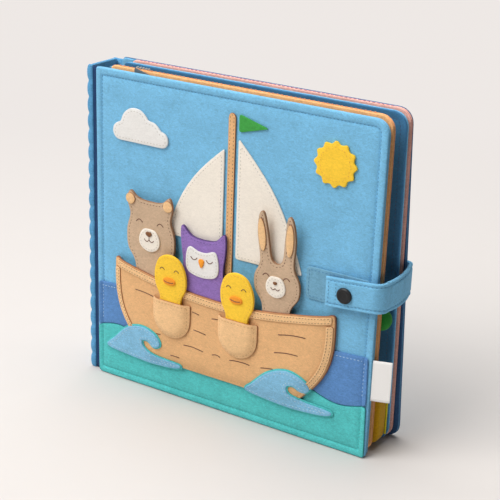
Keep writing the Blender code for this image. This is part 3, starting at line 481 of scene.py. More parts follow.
def turned_faces(rows, cols):
    """Faces of rings of cols points, each ring joined to the next, with a fan to a pole at each end. The two
    poles come after all the rings."""
    r, c = np.meshgrid(np.arange(rows - 1), np.arange(cols), indexing="ij")
    a, b = (r * cols + c).ravel(), (r * cols + (c + 1) % cols).ravel()
    around = np.arange(cols)
    after = (around + 1) % cols
    top = (rows - 1) * cols
    return [np.column_stack((a, b, b + cols, a + cols)),
            np.column_stack((after, around, np.full(cols, rows * cols))),
            np.column_stack((top + around, top + after, np.full(cols, rows * cols + 1)))]


def add_piece(name, verts, faces, finish, body, nodes=(), rests=None):
    """A mesh piece from points in book coordinates and a list of face arrays, riding on a body."""
    mesh = bpy.data.meshes.new(name)
    rows = [row for block in faces for row in np.asarray(block).tolist()]
    mesh.from_pydata(book(verts).tolist(), [], rows)
    shape = bmesh.new()
    shape.from_mesh(mesh)
    bmesh.ops.recalc_face_normals(shape, faces=shape.faces)
    shape.to_mesh(mesh)
    shape.free()
    mesh.shade_smooth()
    for label, values in (rests or {}).items():
        attribute = mesh.attributes.new(label, "FLOAT", "POINT")
        attribute.data.foreach_set("value", np.asarray(values, np.float32))
    piece = bpy.data.objects.new(name, mesh)
    bpy.context.scene.collection.objects.link(piece)
    mesh.materials.append(finish)
    if nodes:
        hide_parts(*nodes)
    if body:
        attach(piece, body)
    return piece


def filled(ring, spacing, extra=None):
    """Triangles that fill a closed line, with even points inside it: a staggered grid, kept where it
    is inside and not too near the line, and joined by a constrained Delaunay triangulation.
    Gives the new points, and triangles that count the line's points first and the new ones after."""
    low, high = ring.min(axis=0), ring.max(axis=0)
    xs = np.arange(low[0], high[0], spacing)
    zs = np.arange(low[1], high[1], spacing * 0.87)
    grid_x, grid_z = np.meshgrid(xs, zs)
    grid_x = grid_x + (np.arange(len(zs)) % 2)[:, None] * spacing / 2
    grid = np.stack((grid_x.ravel(), grid_z.ravel()), axis=1)
    if extra is not None and len(extra):
        grid = grid[distance(grid, extra) > spacing * 0.5] if len(grid) else grid
        grid = np.vstack((grid, extra))
    if len(grid):
        grid = grid[inside(grid, ring)]
    if len(grid):
        near = spacing * 0.45 if extra is None else spacing * 0.25
        grid = grid[distance(grid, ring) > near]
    count = len(ring)
    sides = [(k, (k + 1) % count) for k in range(count)]
    points = [Vector(p) for p in ring.tolist() + grid.tolist()]
    verts, _, tris, origins, _, _ = delaunay_2d_cdt(points, sides, [], 1, 1e-8)
    flat = np.array([tuple(v) for v in verts])
    first = np.array([o[0] if o else -1 for o in origins])
    table = np.empty(len(flat), int)
    fresh = (first < 0) | (first >= count)
    table[~fresh] = first[~fresh]
    table[fresh] = count + np.arange(fresh.sum())
    return flat[fresh], table[np.array(tris)]


def felt(name, line, face, back, finish, body, slot=None, nodes=(), edge=0.0006, spacing=0.004, extra=None,
         step=LINE_STEP, rounding=LINE_ROUNDING, turn=None):
    """A cut felt shape: its front and back are heights y = face(x, z) and y = back(x, z), and its rim is
    a half ellipse between them, edge deep. Towards the rim both go to the middle height as
    middle + (face - middle) * sin(angle), where the inset is edge * (1 - cos(angle))."""
    line = resampled(anticlockwise(np.asarray(line, float)), step, rounding)
    into = inward(line)
    angles = np.radians((0, 28, 58, 90))
    count = len(line)
    rings = [line + into * edge * (1 - math.cos(a)) for a in angles]
    flat, tris = filled(rings[-1], spacing, extra)
    verts, parts = [], []
    middle = (face(line) + back(line)) / 2
    verts.append(np.column_stack((line[:, 0], middle, line[:, 1])))
    for side in (face, back):
        for ring, a in zip(rings[1:], angles[1:]):
            height = middle + (side(ring) - middle) * math.sin(a)
            verts.append(np.column_stack((ring[:, 0], height, ring[:, 1])))
        verts.append(np.column_stack((flat[:, 0], side(flat), flat[:, 1])))
    around = np.arange(count)
    after = (around + 1) % count
    size = 3 * count + len(flat)
    for which in (0, 1):
        base = count + which * size
        starts = [0] + [base + k * count for k in range(3)]
        for lower, upper in zip(starts, starts[1:]):
            quad = np.column_stack((lower + around, lower + after, upper + after, upper + around))
            parts.append(quad if which == 0 else quad[:, ::-1])
        shifted = np.where(tris < count, tris + starts[3], tris - count + base + 3 * count)
        parts.append(shifted if which == 0 else shifted[:, ::-1])
    points = np.vstack(verts)
    cut = np.zeros(len(points))
    cut[:count] = 1
    for which in (0, 1):
        cut[count + which * size:2 * count + which * size] = 0.9
        cut[2 * count + which * size:3 * count + which * size] = 0.45
    if turn is not None:
        points = turn(points)
    return add_piece(name, points, parts, finish, body, nodes, rests={"cut": cut})


def tube(path, radius, sides=6):
    """Points and faces of a round thread: a circle of the radius carried along a path, its ends closed to a
    point. The circle stands on two directions across the path, taken from the tangent and a fixed axis."""
    path = np.asarray(path, float)
    tangent = unit(np.gradient(path, axis=0))
    fixed = np.where(np.abs(tangent[:, 1:2]) < 0.9, np.array([[0.0, 1.0, 0.0]]), np.array([[1.0, 0.0, 0.0]]))
    across = np.cross(tangent, fixed)
    across /= np.linalg.norm(across, axis=1, keepdims=True)
    up = np.cross(across, tangent)
    turns = np.linspace(0, 2 * math.pi, sides, endpoint=False)
    ring = across[:, None] * np.cos(turns)[None, :, None] + up[:, None] * np.sin(turns)[None, :, None]
    points = (path[:, None] + ring * radius).reshape(-1, 3)
    return np.vstack((points, path[:1], path[-1:])), turned_faces(len(path), sides)


def stitches(name, paths, finish, body, pitch=0.0027, length=0.0020, radius=0.00027, out=(0, -1, 0),
             slot=None):
    """Sewn stitches along paths of 3-D points: one thread lozenge is copied to every step of the pitch,
    turned to the path there, and arched so that its ends dive into the felt."""
    girth = np.array((0.35, 0.9, 1.0, 0.9, 0.35))
    rings, sides = len(girth), 5
    size, top = rings * sides, (rings - 1) * sides
    template_t = np.linspace(-0.5, 0.5, rings)
    rise = 1 - (2 * template_t) ** 2
    turns = np.linspace(0, 2 * math.pi, sides, endpoint=False)
    blocks, faces, total = [], [], 0
    around = np.arange(sides)
    after = (around + 1) % sides
    rows = np.arange(rings - 1)[:, None] * sides
    above = rows + sides
    quads = np.stack((rows + around, rows + after, above + after, above + around), -1).reshape(-1, 4)
    out = np.asarray(out, float)
    for path in paths:
        path = np.asarray(path, float)
        along = arc_length(path)
        number = int(along[-1] / pitch)
        if number < 1:
            continue
        at = (np.arange(number) + 0.5) * along[-1] / number
        centre = read_at(path, along, at)
        tangent = unit(read_at(path, along, at + length / 2) - read_at(path, along, at - length / 2))
        normal = unit(out - (tangent @ out)[:, None] * tangent)
        side = np.cross(tangent, normal)
        core = (centre[:, None] + tangent[:, None] * (template_t * length)[None, :, None]
                + normal[:, None] * ((rise - 1) * 1.6 * radius + 0.55 * radius)[None, :, None])
        ring = (side[:, None, None] * np.cos(turns)[None, None, :, None]
                + normal[:, None, None] * np.sin(turns)[None, None, :, None])
        points = core[:, :, None] + ring * (girth * radius)[None, :, None, None]
        blocks.append(points.reshape(-1, 3))
        base = total + np.arange(number)[:, None, None] * size
        faces.append((base + quads[None]).reshape(-1, 4))
        for end, order in ((0, after[::-1]), (top, after)):
            faces.append((base[:, :, 0] + end + order[None]).reshape(-1, sides))
        total += number * size
    return add_piece(name, np.vstack(blocks), faces, finish, body)


def threads(name, paths, radius, finish, body, slot=None):
    """Embroidered lines: a round thread along each path of 3-D points."""
    verts, faces, total = [], [], 0
    for path in paths:
        points, parts = tube(path, radius)
        verts.append(points)
        faces += [part + total for part in parts]
        total += len(points)
    return add_piece(name, np.vstack(verts), faces, finish, body)


def on(surface, line, lift=0.0):
    """Points of a line in X and Z, lifted onto a surface y = surface(x, z)."""
    line = np.asarray(line, float)
    return np.column_stack((line[:, 0], surface(line) - lift, line[:, 1]))


def closed_path(path):
    """A closed line with its first point again at its end."""
    return np.vstack((path, path[:1]))


def opened(path):
    """A closed line that has a wide gap, turned round so that it starts after the gap."""
    start = np.argmax(np.linalg.norm(np.diff(closed_path(path), axis=0), axis=1)) + 1
    return np.roll(path, -start, axis=0)


def inset(line, gap, keep=0.96):
    """A line moved inwards by a gap, without the points that come nearer to the line than that."""
    moved = line + inward(line) * gap
    return moved[distance(moved, line) > gap * keep]


def sewn_round(name, line, gap, surface, thread, body, slot, **more):
    """Stitches all round a felt's surface, a gap inside its line."""
    stitches(name, [on(surface, closed_path(inset(line, gap)))], thread, body, slot=slot, **more)


def ripples(points, size, seed):
    """Soft unevenness of felt: a sum of six waves across the surface, with fixed directions and phases."""
    rng = np.random.default_rng(seed)
    total = np.zeros(len(points))
    for wave in range(6):
        turn, phase = rng.uniform(0, 2 * math.pi, 2)
        number = rng.uniform(40, 170)
        total += np.sin((points[:, 0] * math.cos(turn) + points[:, 1] * math.sin(turn)) * number + phase)
    return size * total / 6


# Camera, lamps and floor

def set_camera():
    """The camera stands on a ray from its target, by azimuth, elevation and distance,
    and is rolled about it."""
    azimuth, elevation, roll = (math.radians(a) for a in (31.7605, 20.9306, 1.9834))
    away, lens, sensor = 0.8726, 91.05, 36.0
    back = Vector((math.sin(azimuth) * math.cos(elevation), -math.cos(azimuth) * math.cos(elevation),
                   math.sin(elevation)))
    target = Vector(book((0.1349, 0.0, 0.1311)).tolist())
    right = (-back).cross(Vector((0, 0, 1))).normalized()
    up = right.cross(-back)
    level_line = math.cos(roll) * right + math.sin(roll) * up
    upward = -math.sin(roll) * right + math.cos(roll) * up
    data = bpy.data.cameras.new("photo_camera")
    data.lens, data.sensor_width = lens, sensor
    camera = bpy.data.objects.new("photo_camera", data)
    bpy.context.scene.collection.objects.link(camera)
    turned = Matrix((level_line, upward, back)).transposed().to_4x4()
    camera.matrix_world = Matrix.Translation(target + back * away) @ turned
    bpy.context.scene.camera = camera


def add_lamp(name, place, side, power, colour):
    """A soft square lamp at a place, turned to the book's middle."""
    data = bpy.data.lights.new(name, "AREA")
    data.shape = "RECTANGLE"
    data.size = data.size_y = side
    data.energy = power
    data.color = colour
    lamp = bpy.data.objects.new(name, data)
    bpy.context.scene.collection.objects.link(lamp)
    lamp.location = place
    lamp.rotation_euler = (Vector(LAMP_AIM) - Vector(place)).to_track_quat("-Z", "Y").to_euler()


BACKDROP = (0.855, 0.81, 0.785, 1)
FLOOR_FADE, FLOOR_REACH = (0.22, 0.85), 30
LAMP_AIM = (0, 0, 0.1)


def seen_rays(tree):
    """1 for the rays that the camera sees, straight, mirrored or through glass,
    and 0 for those that light."""
    path = tree.nodes.new("ShaderNodeLightPath")
    seen = sums(tree, "MAXIMUM", path.outputs["Is Camera Ray"], path.outputs["Is Glossy Ray"])
    return sums(tree, "MAXIMUM", seen, path.outputs["Is Transmission Ray"])


def mix_shaders(tree, share, first, second, surface):
    """Two shaders mixed by a share, into an output's surface."""
    mixed = add_node(tree, "ShaderNodeMixShader", {0: share, 1: first, 2: second})
    tree.links.new(mixed.outputs[0], surface)


def set_studio():
    """A pale floor, two large soft lamps from the front left and from above, and a dim world. Far from the
    book the floor fades, for the camera only, to the backdrop's even paleness, which the world has too."""
    scene = bpy.context.scene
    scene.view_settings.view_transform = "Standard"
    world = bpy.data.worlds.new("studio")
    scene.world = world
    world.use_nodes = True
    tree = world.node_tree
    background = tree.nodes["Background"]
    background.inputs["Color"].default_value = (1.0, 0.97, 0.94, 1)
    background.inputs["Strength"].default_value = 0.12
    beyond = add_node(tree, "ShaderNodeBackground", {"Color": BACKDROP})
    mix_shaders(tree, seen_rays(tree), background.outputs[0], beyond.outputs[0],
                tree.nodes["World Output"].inputs["Surface"])
    add_lamp("key", (-1.25, -2.15, 3.0), 2.6, 136, (1.0, 0.985, 0.965))
    add_lamp("top", (-0.4, 0.35, 2.6), 2.4, 64, (1.0, 0.98, 0.96))
    made, tree, shader, where = bare_material("studio_floor", 0.85)
    shade = spread(tree, noise(tree, where, 30, 2), 0.2, 0.8, 0.995, 1.005)
    tree.links.new(scaled(tree, plain(tree, (0.640, 0.614, 0.598)), shade), shader.inputs["Base Color"])
    shader.inputs["Specular IOR Level"].default_value = 0.1
    length = add_node(tree, "ShaderNodeVectorMath", {0: where}, operation="LENGTH")
    far = spread(tree, length.outputs["Value"], *FLOOR_FADE, 0.0, 1.0)
    backdrop = add_node(tree, "ShaderNodeEmission", {"Color": BACKDROP})
    mix_shaders(tree, sums(tree, "MULTIPLY", far, seen_rays(tree)), shader.outputs[0], backdrop.outputs[0],
                tree.nodes["Material Output"].inputs["Surface"])
    mesh = bpy.data.meshes.new("studio_floor")
    reach = FLOOR_REACH
    mesh.from_pydata([(-reach, -reach, 0), (reach, -reach, 0), (reach, reach, 0), (-reach, reach, 0)], [],
                     [(0, 1, 2, 3)])
    mesh.materials.append(made)
    floor = bpy.data.objects.new("studio_floor", mesh)
    bpy.context.scene.collection.objects.link(floor)


# Covers

COVER_LINE = resampled(cad_outline("front_cover_felt"), COVER_STEP)
BACK_LINE = resampled(cad_outline("back_cover_felt"), COVER_STEP)
BACK_NEAR = DEPTH_TOP - 0.0041


def rim_relief(gap):
    """Padding of a cover by the distance from its edge: a soft rim, a sewn groove at the seam, then flat."""
    rim = 0.0005 * np.sin(np.clip(gap / SEAM, 0, 1) * math.pi) ** 1.2
    return rim - groove(gap, SEAM, 0.0007, 0.0009) + 0.0002 * np.clip((gap - SEAM) / 0.006, 0, 1)


def cover_face(points):
    """y of the front cover's felt: flat, with the rim's padding and soft ripples."""
    return 0.00035 - rim_relief(distance(points, COVER_LINE)) + ripples(points, 0.00018, 3)


def seam_rings(line):
    """Extra points round a seam, so that its groove is cut cleanly into the mesh."""
    return np.vstack([inset(line, SEAM + shift) for shift in (-0.0014, -0.0007, 0.0, 0.0007, 0.0014)])


def cover_ply(name, line, rings, face, back, finish, body, slot, nodes, edge, spacing):
    """One felt of a cover, with extra points where its seam is."""
    felt(name, line, face, back, finish, body, slot, nodes, edge=edge, spacing=spacing, extra=rings,
         step=COVER_STEP)


def make_front_cover():
    """The outer felt over its board, and the lining, each with its seam."""
    rings, body, slot = seam_rings(COVER_LINE), "front_cover", "sky_felt"
    cover_ply("front_cover_panel", COVER_LINE, rings, cover_face, level(0.0027), COVER_SKY, body, slot,
              ("front_cover_felt", "front_cover_board"), 0.0013, 0.004)
    cover_ply("front_cover_inside", inset(COVER_LINE, 0.0004), rings, level(0.0028),
              lambda p: 0.0040 + rim_relief(distance(p, COVER_LINE)) * 0.4, COVER_SKY, body, slot,
              ("front_cover_lining",), 0.0006, 0.006)
    sewn_round("front_cover_seam", COVER_LINE, SEAM, cover_face, BLUE_THREAD, body, slot)
    sewn_round("front_lining_seam", COVER_LINE, SEAM, level(0.00385), BLUE_THREAD, body, slot, out=(0, 1, 0))


def back_face(points):
    """y of the back cover's outer felt, which leans, with the rim's padding."""
    relief = rim_relief(distance(points, BACK_LINE))
    return DEPTH_TOP + lean_at(points[:, 1]) - 0.0003 + relief + ripples(points, 0.00018, 5)


def back_inside(points):
    """y of the back cover's lining, which faces the pages."""
    return BACK_NEAR + lean_at(points[:, 1]) + 0.0002 - rim_relief(distance(points, BACK_LINE)) * 0.4


def make_back_cover():
    """The outer felt over its board, and the lining: a blue darkened to navy as painted shade where the
    pages shade it, with a strip of the cover's blue beside the spine."""
    rings, body = seam_rings(BACK_LINE), "back_cover"
    cover_ply("back_cover_panel", BACK_LINE, rings, lambda p: DEPTH_TOP - 0.0028 + lean_at(p[:, 1]),
              back_face, BACK_SKY, body, "sky_felt", ("back_cover_felt", "back_cover_board"), 0.0013, 0.004)
    lining = inset(BACK_LINE, 0.0004)
    for name, finish, slot, low, high in (("back_cover_inside", NAVY, "denim_felt", 0.0118, 1.0),
                                          ("back_cover_facing", SKY, "sky_felt", 0.0, 0.0114)):
        part = np.column_stack((np.clip(lining[:, 0], low, high), lining[:, 1]))
        cover_ply(name, part, rings, back_inside, lambda p: DEPTH_TOP - 0.0029 + lean_at(p[:, 1]), finish,
                  body, slot, ("back_cover_lining",), 0.0006, 0.006)
    sewn_round("back_cover_seam", BACK_LINE, SEAM, back_face, BLUE_THREAD, body, "sky_felt", out=(0, 1, 0))
    sewn_round("back_lining_seam", BACK_LINE, SEAM, back_inside, NAVY_THREAD, body, "denim_felt")


# Spine

SCALLOP_PITCH = 0.012


def make_spine():
    """The spine's felt panel stands in the Y and Z plane, so its x and y change places after it is made. The
    scalloped strips at its edges swell between their sewn notches."""
    front, back, foot = 0.0038, DEPTH_TOP - 0.0034, 0.0003
    line = np.array(((front, foot), (back + LEAN, foot), (back, COVER_H), (front, COVER_H)))
    felt("spine_back", line, lambda p: np.full(len(p), -0.0074) + ripples(p, 0.0001, 8), level(-0.0043),
         SPINE_BLUE, "spine", "spine_felt", ("spine_panel",), edge=0.0009, turn=lambda p: p[:, (1, 0, 2)])
    for name, middle, leans in (("spine_edge_front", 0.0027, False),
                                ("spine_edge_back", DEPTH_TOP - 0.0027, True)):
        def swell(p, sign, middle=middle, shift=leaning(leans)):
            notch = np.abs(np.sin(math.pi * p[:, 1] / SCALLOP_PITCH)) ** 0.6
            round_off = np.sqrt(np.clip(1 - ((p[:, 0] + 0.0072) / 0.0034) ** 2, 0.05, 1))
            half = 0.0002 + 0.0003 * notch + (0.0005 * notch + 0.0002) * round_off
            return middle + shift(p) + sign * half

        felt(name + "_roll", cad_outline(name), lambda p, s=swell: s(p, -1), lambda p, s=swell: s(p, 1),
             SPINE_BLUE, "spine", "spine_felt", (name,), edge=0.0014, spacing=0.0016, step=0.0009)


def make_valleys():
    """The thin felt at each side of the spine:
    a strip along Z that crosses the joint."""
    u = np.linspace(-0.0052, 0.0012, 13)
    v = np.linspace(0.0006, COVER_H - 0.0006, 60)
    grid_u, grid_v = np.meshgrid(u, v)
    for name, y, half, finish, leans, cover in (
            # The front strip's near-black blue is painted shade in the hinge's valley.
            ("front_hinge", 0.0033, 0.0005, GROOVE_SHADE, False, "front_cover"),
            ("back_hinge", DEPTH_TOP - 0.0024, 0.0013, SPINE_BLUE, True, "back_cover")):
        lift = lean_at(grid_v) if leans else np.zeros_like(grid_v)
        verts = [np.stack((grid_u, y + lift + sign * half, grid_v), -1).reshape(-1, 3) for sign in (-1, 1)]
        piece = add_piece(name + "_strip", np.vstack(verts), slab_faces(len(v), len(u)), finish, None,
                          (name,))
        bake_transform(piece)


# Pages

FELT_GAP = 0.00005


def page_ply(node, finish, thread, body, slot, faces_front, pressed=0.0):
    """One felt of a page, with a sewn seam near its edge on its outer side. Pressed is how much thinner than
    its solid the sewn felt is there."""
    low, high = corners(node)
    leans = (high[1] - low[1]) > 0.006
    depth = high[1] - low[1] - (LEAN * (high[2] - low[2]) / COVER_H if leans else 0)
    near = low[1] if not leans else high[1] - depth - lean_at(low[2])
    shift = leaning(leans)
    line = resampled(cad_outline(node), 0.002)

    def sewn(p):
        return pressed + groove(distance(p, line), PAGE_SEAM, 0.0010, 0.0003)

    face = lambda p: near + FELT_GAP + shift(p) + (sewn(p) if faces_front else 0)
    back = lambda p: near + depth - FELT_GAP + shift(p) - (0 if faces_front else sewn(p))
    rings = np.vstack([inset(line, PAGE_SEAM + s) for s in (-0.0010, 0.0, 0.0010)])
    felt(node + "_felt", cad_outline(node), face, back, finish, body, slot, (node,), edge=0.0008,
         spacing=0.008, extra=rings, step=0.002)
    sewn_round(node + "_seam", line, PAGE_SEAM, face if faces_front else back, thread, body, slot,
               out=(0, -1 if faces_front else 1, 0))


def make_pages():
    """Six plies, two to a page, and the whipped edge at the head of the first and the last page."""
    for node, finish, thread, slot, pressed in (
            ("page_one_front", ORANGE, ORANGE_THREAD, "orange_felt", 0.0),
            ("page_one_back", ORANGE, ORANGE_THREAD, "orange_felt", 0.0008),
            ("page_two_front", SHADED_PAGE_BLUE, NAVY_THREAD, "denim_felt", 0.0),
            ("page_two_back", SKY, BLUE_THREAD, "sky_felt", 0.0006),
            ("page_three_front", PINK, PINK_THREAD, "pink_felt", 0.0006),
            ("page_three_back", PINK, PINK_THREAD, "pink_felt", 0.0006)):
        page, side = node.rsplit("_", 1)
        page_ply(node, finish, thread, page, slot, side == "front", pressed)
    for page, thread, slot in (("page_three", PINK_THREAD, "pink_felt"),
                               ("page_one", ORANGE_THREAD, "orange_felt")):
        low, high = corners(page + "_back")
        x = np.linspace(low[0] + 0.006, high[0] - 0.013, 120)
        y = low[1] + (float(lean_at(high[2])) if page == "page_three" else 0) - 0.00015
        stitches(page + "_top_stitches", [path_of(x, y, high[2] + 0.0001)], thread, page, pitch=0.0034,
                 length=0.0022, radius=0.00034, out=(0, 0, 1), slot=slot)


def flat_felt(node, finish, body, slot, **more):
    """A flat CAD felt made again with rounded edges, between the heights of its own box."""
    low, high = corners(node)
    return felt(node + "_felt", cad_outline(node), level(low[1]), level(high[1]), finish, body, slot,
                (node,), **more)


def make_gutters():
    """The strip that carries each page: from the spine to just inside the page."""
    thick, reach = 0.0010, 0.004
    for node, finish, slot, page, leans in (("gutter_one", ORANGE, "orange_felt", "page_one", False),
                                            ("gutter_two", SKY, "sky_felt", "page_two", True),
                                            ("gutter_three", PINK, "pink_felt", "page_three", True)):
        line = cad_outline(node)
        low, high = corners(node)
        line[:, 0] = np.where(line[:, 0] > reach, line[:, 0] + reach, line[:, 0])
        near = low[1] + 0.0001 if not leans else high[1] - 0.0012 - lean_at(low[2])
        shift = leaning(leans)
        piece = felt(node + "_strip", line, lambda p: near + shift(p), lambda p: near + thick + shift(p),
                     finish, None, slot, (node,), spacing=0.003, edge=0.0004)
        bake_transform(piece)


def padded_solid(name, centre, radii, power, finish, body, nodes, count=(28, 40)):
    """A stuffed shape: a superellipsoid. Each radius is multiplied by signed powers of the sine and
    cosine of a latitude and a longitude, so a low power makes it boxy."""
    lat = np.linspace(-math.pi / 2, math.pi / 2, count[0])
    lon = np.linspace(0, 2 * math.pi, count[1], endpoint=False)
    la, lo = np.meshgrid(lat[1:-1], lon, indexing="ij")
    sp = lambda v: np.sign(v) * np.abs(v) ** power
    x = radii[0] * sp(np.cos(la)) * sp(np.cos(lo))
    z = radii[2] * sp(np.cos(la)) * sp(np.sin(lo))
    y = radii[1] * sp(np.sin(la))
    points = np.stack((x, y, z), -1).reshape(-1, 3)
    points = np.vstack((points, [(0, -radii[1], 0), (0, radii[1], 0)])) + np.array(centre)
    piece = add_piece(name, points, turned_faces(count[0] - 2, count[1]), finish, body, nodes)


def make_page_things():
    """What the pages carry: the zip on the first, a stuffed pouch and a ball on the second."""
    low, high = corners("zip_tape")
    flat_felt("zip_tape", ZIP_TAPE, "page_one", "grey_tape", edge=0.0002)
    middle = (low[0] + high[0]) / 2
    paths = []
    for k, z in enumerate(np.arange(low[2] + 0.003, high[2] - 0.008, 0.0019)):
        x = middle + (0.0 if k % 2 else 0.0018)
        paths.append(np.array(((x - 0.0022, low[1] - 0.0002, z), (x + 0.0004, low[1] - 0.0006, z + 0.0001))))
    threads("zip_teeth", paths, 0.0006, SNAP, "page_one", "snap_plastic")
    x = np.linspace(low[0] + 0.001, high[0] - 0.001, 20)
    rows = [path_of(x, low[1] + s, high[2] + 0.0002) for s in (0.0003, 0.0015)]
    stitches("zip_end_stitches", rows, PALE_THREAD, "page_one", pitch=0.0022, length=0.0014, radius=0.0004,
             out=(0, 0, 1), slot="grey_tape")
    low, high = corners("page_pouch")
    edge = path_of(high[0] - 0.0008, high[1] - 0.0012, np.linspace(low[2] + 0.004, high[2] - 0.003, 30))
    threads("pouch_piping", [edge], 0.0009, LIME, "page_two", "olive_felt")
    centre, half = (low + high) / 2, (high - low) / 2
    half_depth = half[1] - 0.0008
    padded_solid("page_pouch_felt", (centre[0], low[1] + half_depth, centre[2]),
                 (half[0], half_depth, half[2]), 0.35, OLIVE, "page_two", ("page_pouch",))
    low, high = corners("page_ball")
    padded_solid("page_ball_felt", (low + high) / 2, (high - low) / 2, 1.0, DARK_GREEN, "page_two",
                 ("page_ball",))


# Strap, press stud and label

def band(name, path, nodes, rounded):
    """Half of the strap: a rounded flat section carried along a path in X and Y, its width along Z. The
    section is a slab whose two long edges are half ellipses, and the two sewn lines near them are shallow
    grooves. Rounded names the path's end that is closed round, 0 for its start and 1 for its end.
    The other is cut flat."""
    half = 0.0013
    tangent = unit(np.gradient(path, axis=0))
    across = np.stack((-tangent[:, 1], tangent[:, 0]), axis=1)
    w = np.linspace(-1, 1, 49)
    gap = (1 - np.abs(w)) * 0.0112
    thick = half * np.sqrt(np.clip(1 - (1 - np.clip(gap / 0.0008, 0, 1)) ** 2, 0, 1))
    thick = thick - groove(gap, 0.0026, 0.0006, 0.0006)
    along = arc_length(path)
    ends = along[-1] - along if rounded else along
    taper = np.sqrt(np.clip(1 - (1 - np.clip(ends / 0.0012, 0, 1)) ** 2, 0.02, 1))
    height = STRAP_Z + w[None, :] * strap_half(path)[:, None] + strap_rise(path)[:, None]
    blocks = []
    for sign in (1, -1):
        shift = sign * thick[None, :] * taper[:, None]
        x, y = path[:, 0:1] + across[:, 0:1] * shift, path[:, 1:2] + across[:, 1:2] * shift
        blocks.append(np.stack((x, y, height), -1).reshape(-1, 3))
    rows, cols = len(path), len(w)
    faces = slab_faces(rows, cols)
    piece = add_piece(name, np.vstack(blocks), faces, SKY, None, nodes)
    flat = np.zeros(len(piece.data.polygons), bool)
    start = 2 * len(faces[0]) + (0 if rounded else cols - 1 + rows - 1)
    flat[start:start + cols - 1] = True
    piece.data.polygons.foreach_set("use_smooth", ~flat)
    return piece


def arc_points(cx, cy, radius, start, end, count):
    """Points on an arc, from one angle to another in degrees."""
    t = np.radians(np.linspace(start, end, count))
    return np.stack((cx + radius * np.cos(t), cy + radius * np.sin(t)), axis=1)


FRONT_BEND, BACK_BEND, BEND_SHIFT = 0.0080, 0.0050, 0.0032
FLAP_START_X, ANCHOR_START_X, FLAP_Y = 0.1985, 0.200, -0.0056
SIDE_X, SIDE_X_BACK, FLAP_END_Y = 0.2403, 0.2403 - 0.0004, FRONT_BEND + FLAP_Y
ANCHOR_END_Y = DEPTH_TOP + 0.0003 + 0.0013 - BEND_SHIFT + LEAN * (1 - STRAP_Z / COVER_H)
FLAP_POINTS, BEND_POINTS, SIDE_POINTS = 24, 18, 24
STRAP_SEAM, STRAP_FACE = 0.0027, 0.00075


def strap_half(p):
    """Half the strap's width: a little less at its free end than at its side."""
    return 0.01075 + 0.0008 * np.clip((p[:, 1] - FLAP_END_Y) / (ANCHOR_END_Y - FLAP_END_Y), 0, 1)


def strap_line():
    """The strap's middle line in X and Y, all the way round: the flap, the front bend, the side, which
    bows out a little, the back bend and the sewn end."""
    anchor_y = ANCHOR_END_Y + BEND_SHIFT
    flap = path_of(np.linspace(FLAP_START_X, 0.2310, FLAP_POINTS), FLAP_Y)
    bend = arc_points(SIDE_X - FRONT_BEND, FLAP_END_Y, FRONT_BEND, 270, 360, BEND_POINTS)
    y = np.linspace(FLAP_END_Y + 0.0012, anchor_y - BACK_BEND - 0.0008, SIDE_POINTS)
    share = (y - y[0]) / (y[-1] - y[0])
    bow = 0.0024 * np.sin(math.pi * share) ** 0.8
    side = np.column_stack((SIDE_X + bow - (SIDE_X - SIDE_X_BACK) * share, y))
    back = arc_points(SIDE_X_BACK - BACK_BEND, anchor_y - BACK_BEND, BACK_BEND, 0, 90, 14)
    end = path_of(np.linspace(SIDE_X_BACK - BACK_BEND - 0.0010, ANCHOR_START_X, 18), anchor_y)
    return np.vstack((flap, bend, side, back, end)), FLAP_POINTS + BEND_POINTS + SIDE_POINTS // 2


def strap_rise(p):
    """How far the strap stands above its middle height: it climbs along the flap, and on along the side."""
    flap = 0.0030 * (np.clip((p[:, 0] - FLAP_START_X) / (COVER_W - FLAP_START_X), 0, 1) - 0.5) + 0.0007
    share = np.clip((p[:, 1] - FLAP_END_Y + 0.003) / (ANCHOR_END_Y - FLAP_END_Y), 0, 1)
    return np.where(p[:, 1] < FLAP_END_Y - 0.003, flap, 0.0022 + 0.0016 * share)


def strap_surface(path, edge):
    """Points on the strap's outer face along a path, a seam's width from its lower (-1) or upper (1)
    edge."""
    tangent = unit(np.gradient(path, axis=0))
    out = np.stack((tangent[:, 1], -tangent[:, 0]), axis=1) * STRAP_FACE
    return np.column_stack((path + out, STRAP_Z + edge * (strap_half(path) - STRAP_SEAM) + strap_rise(path)))


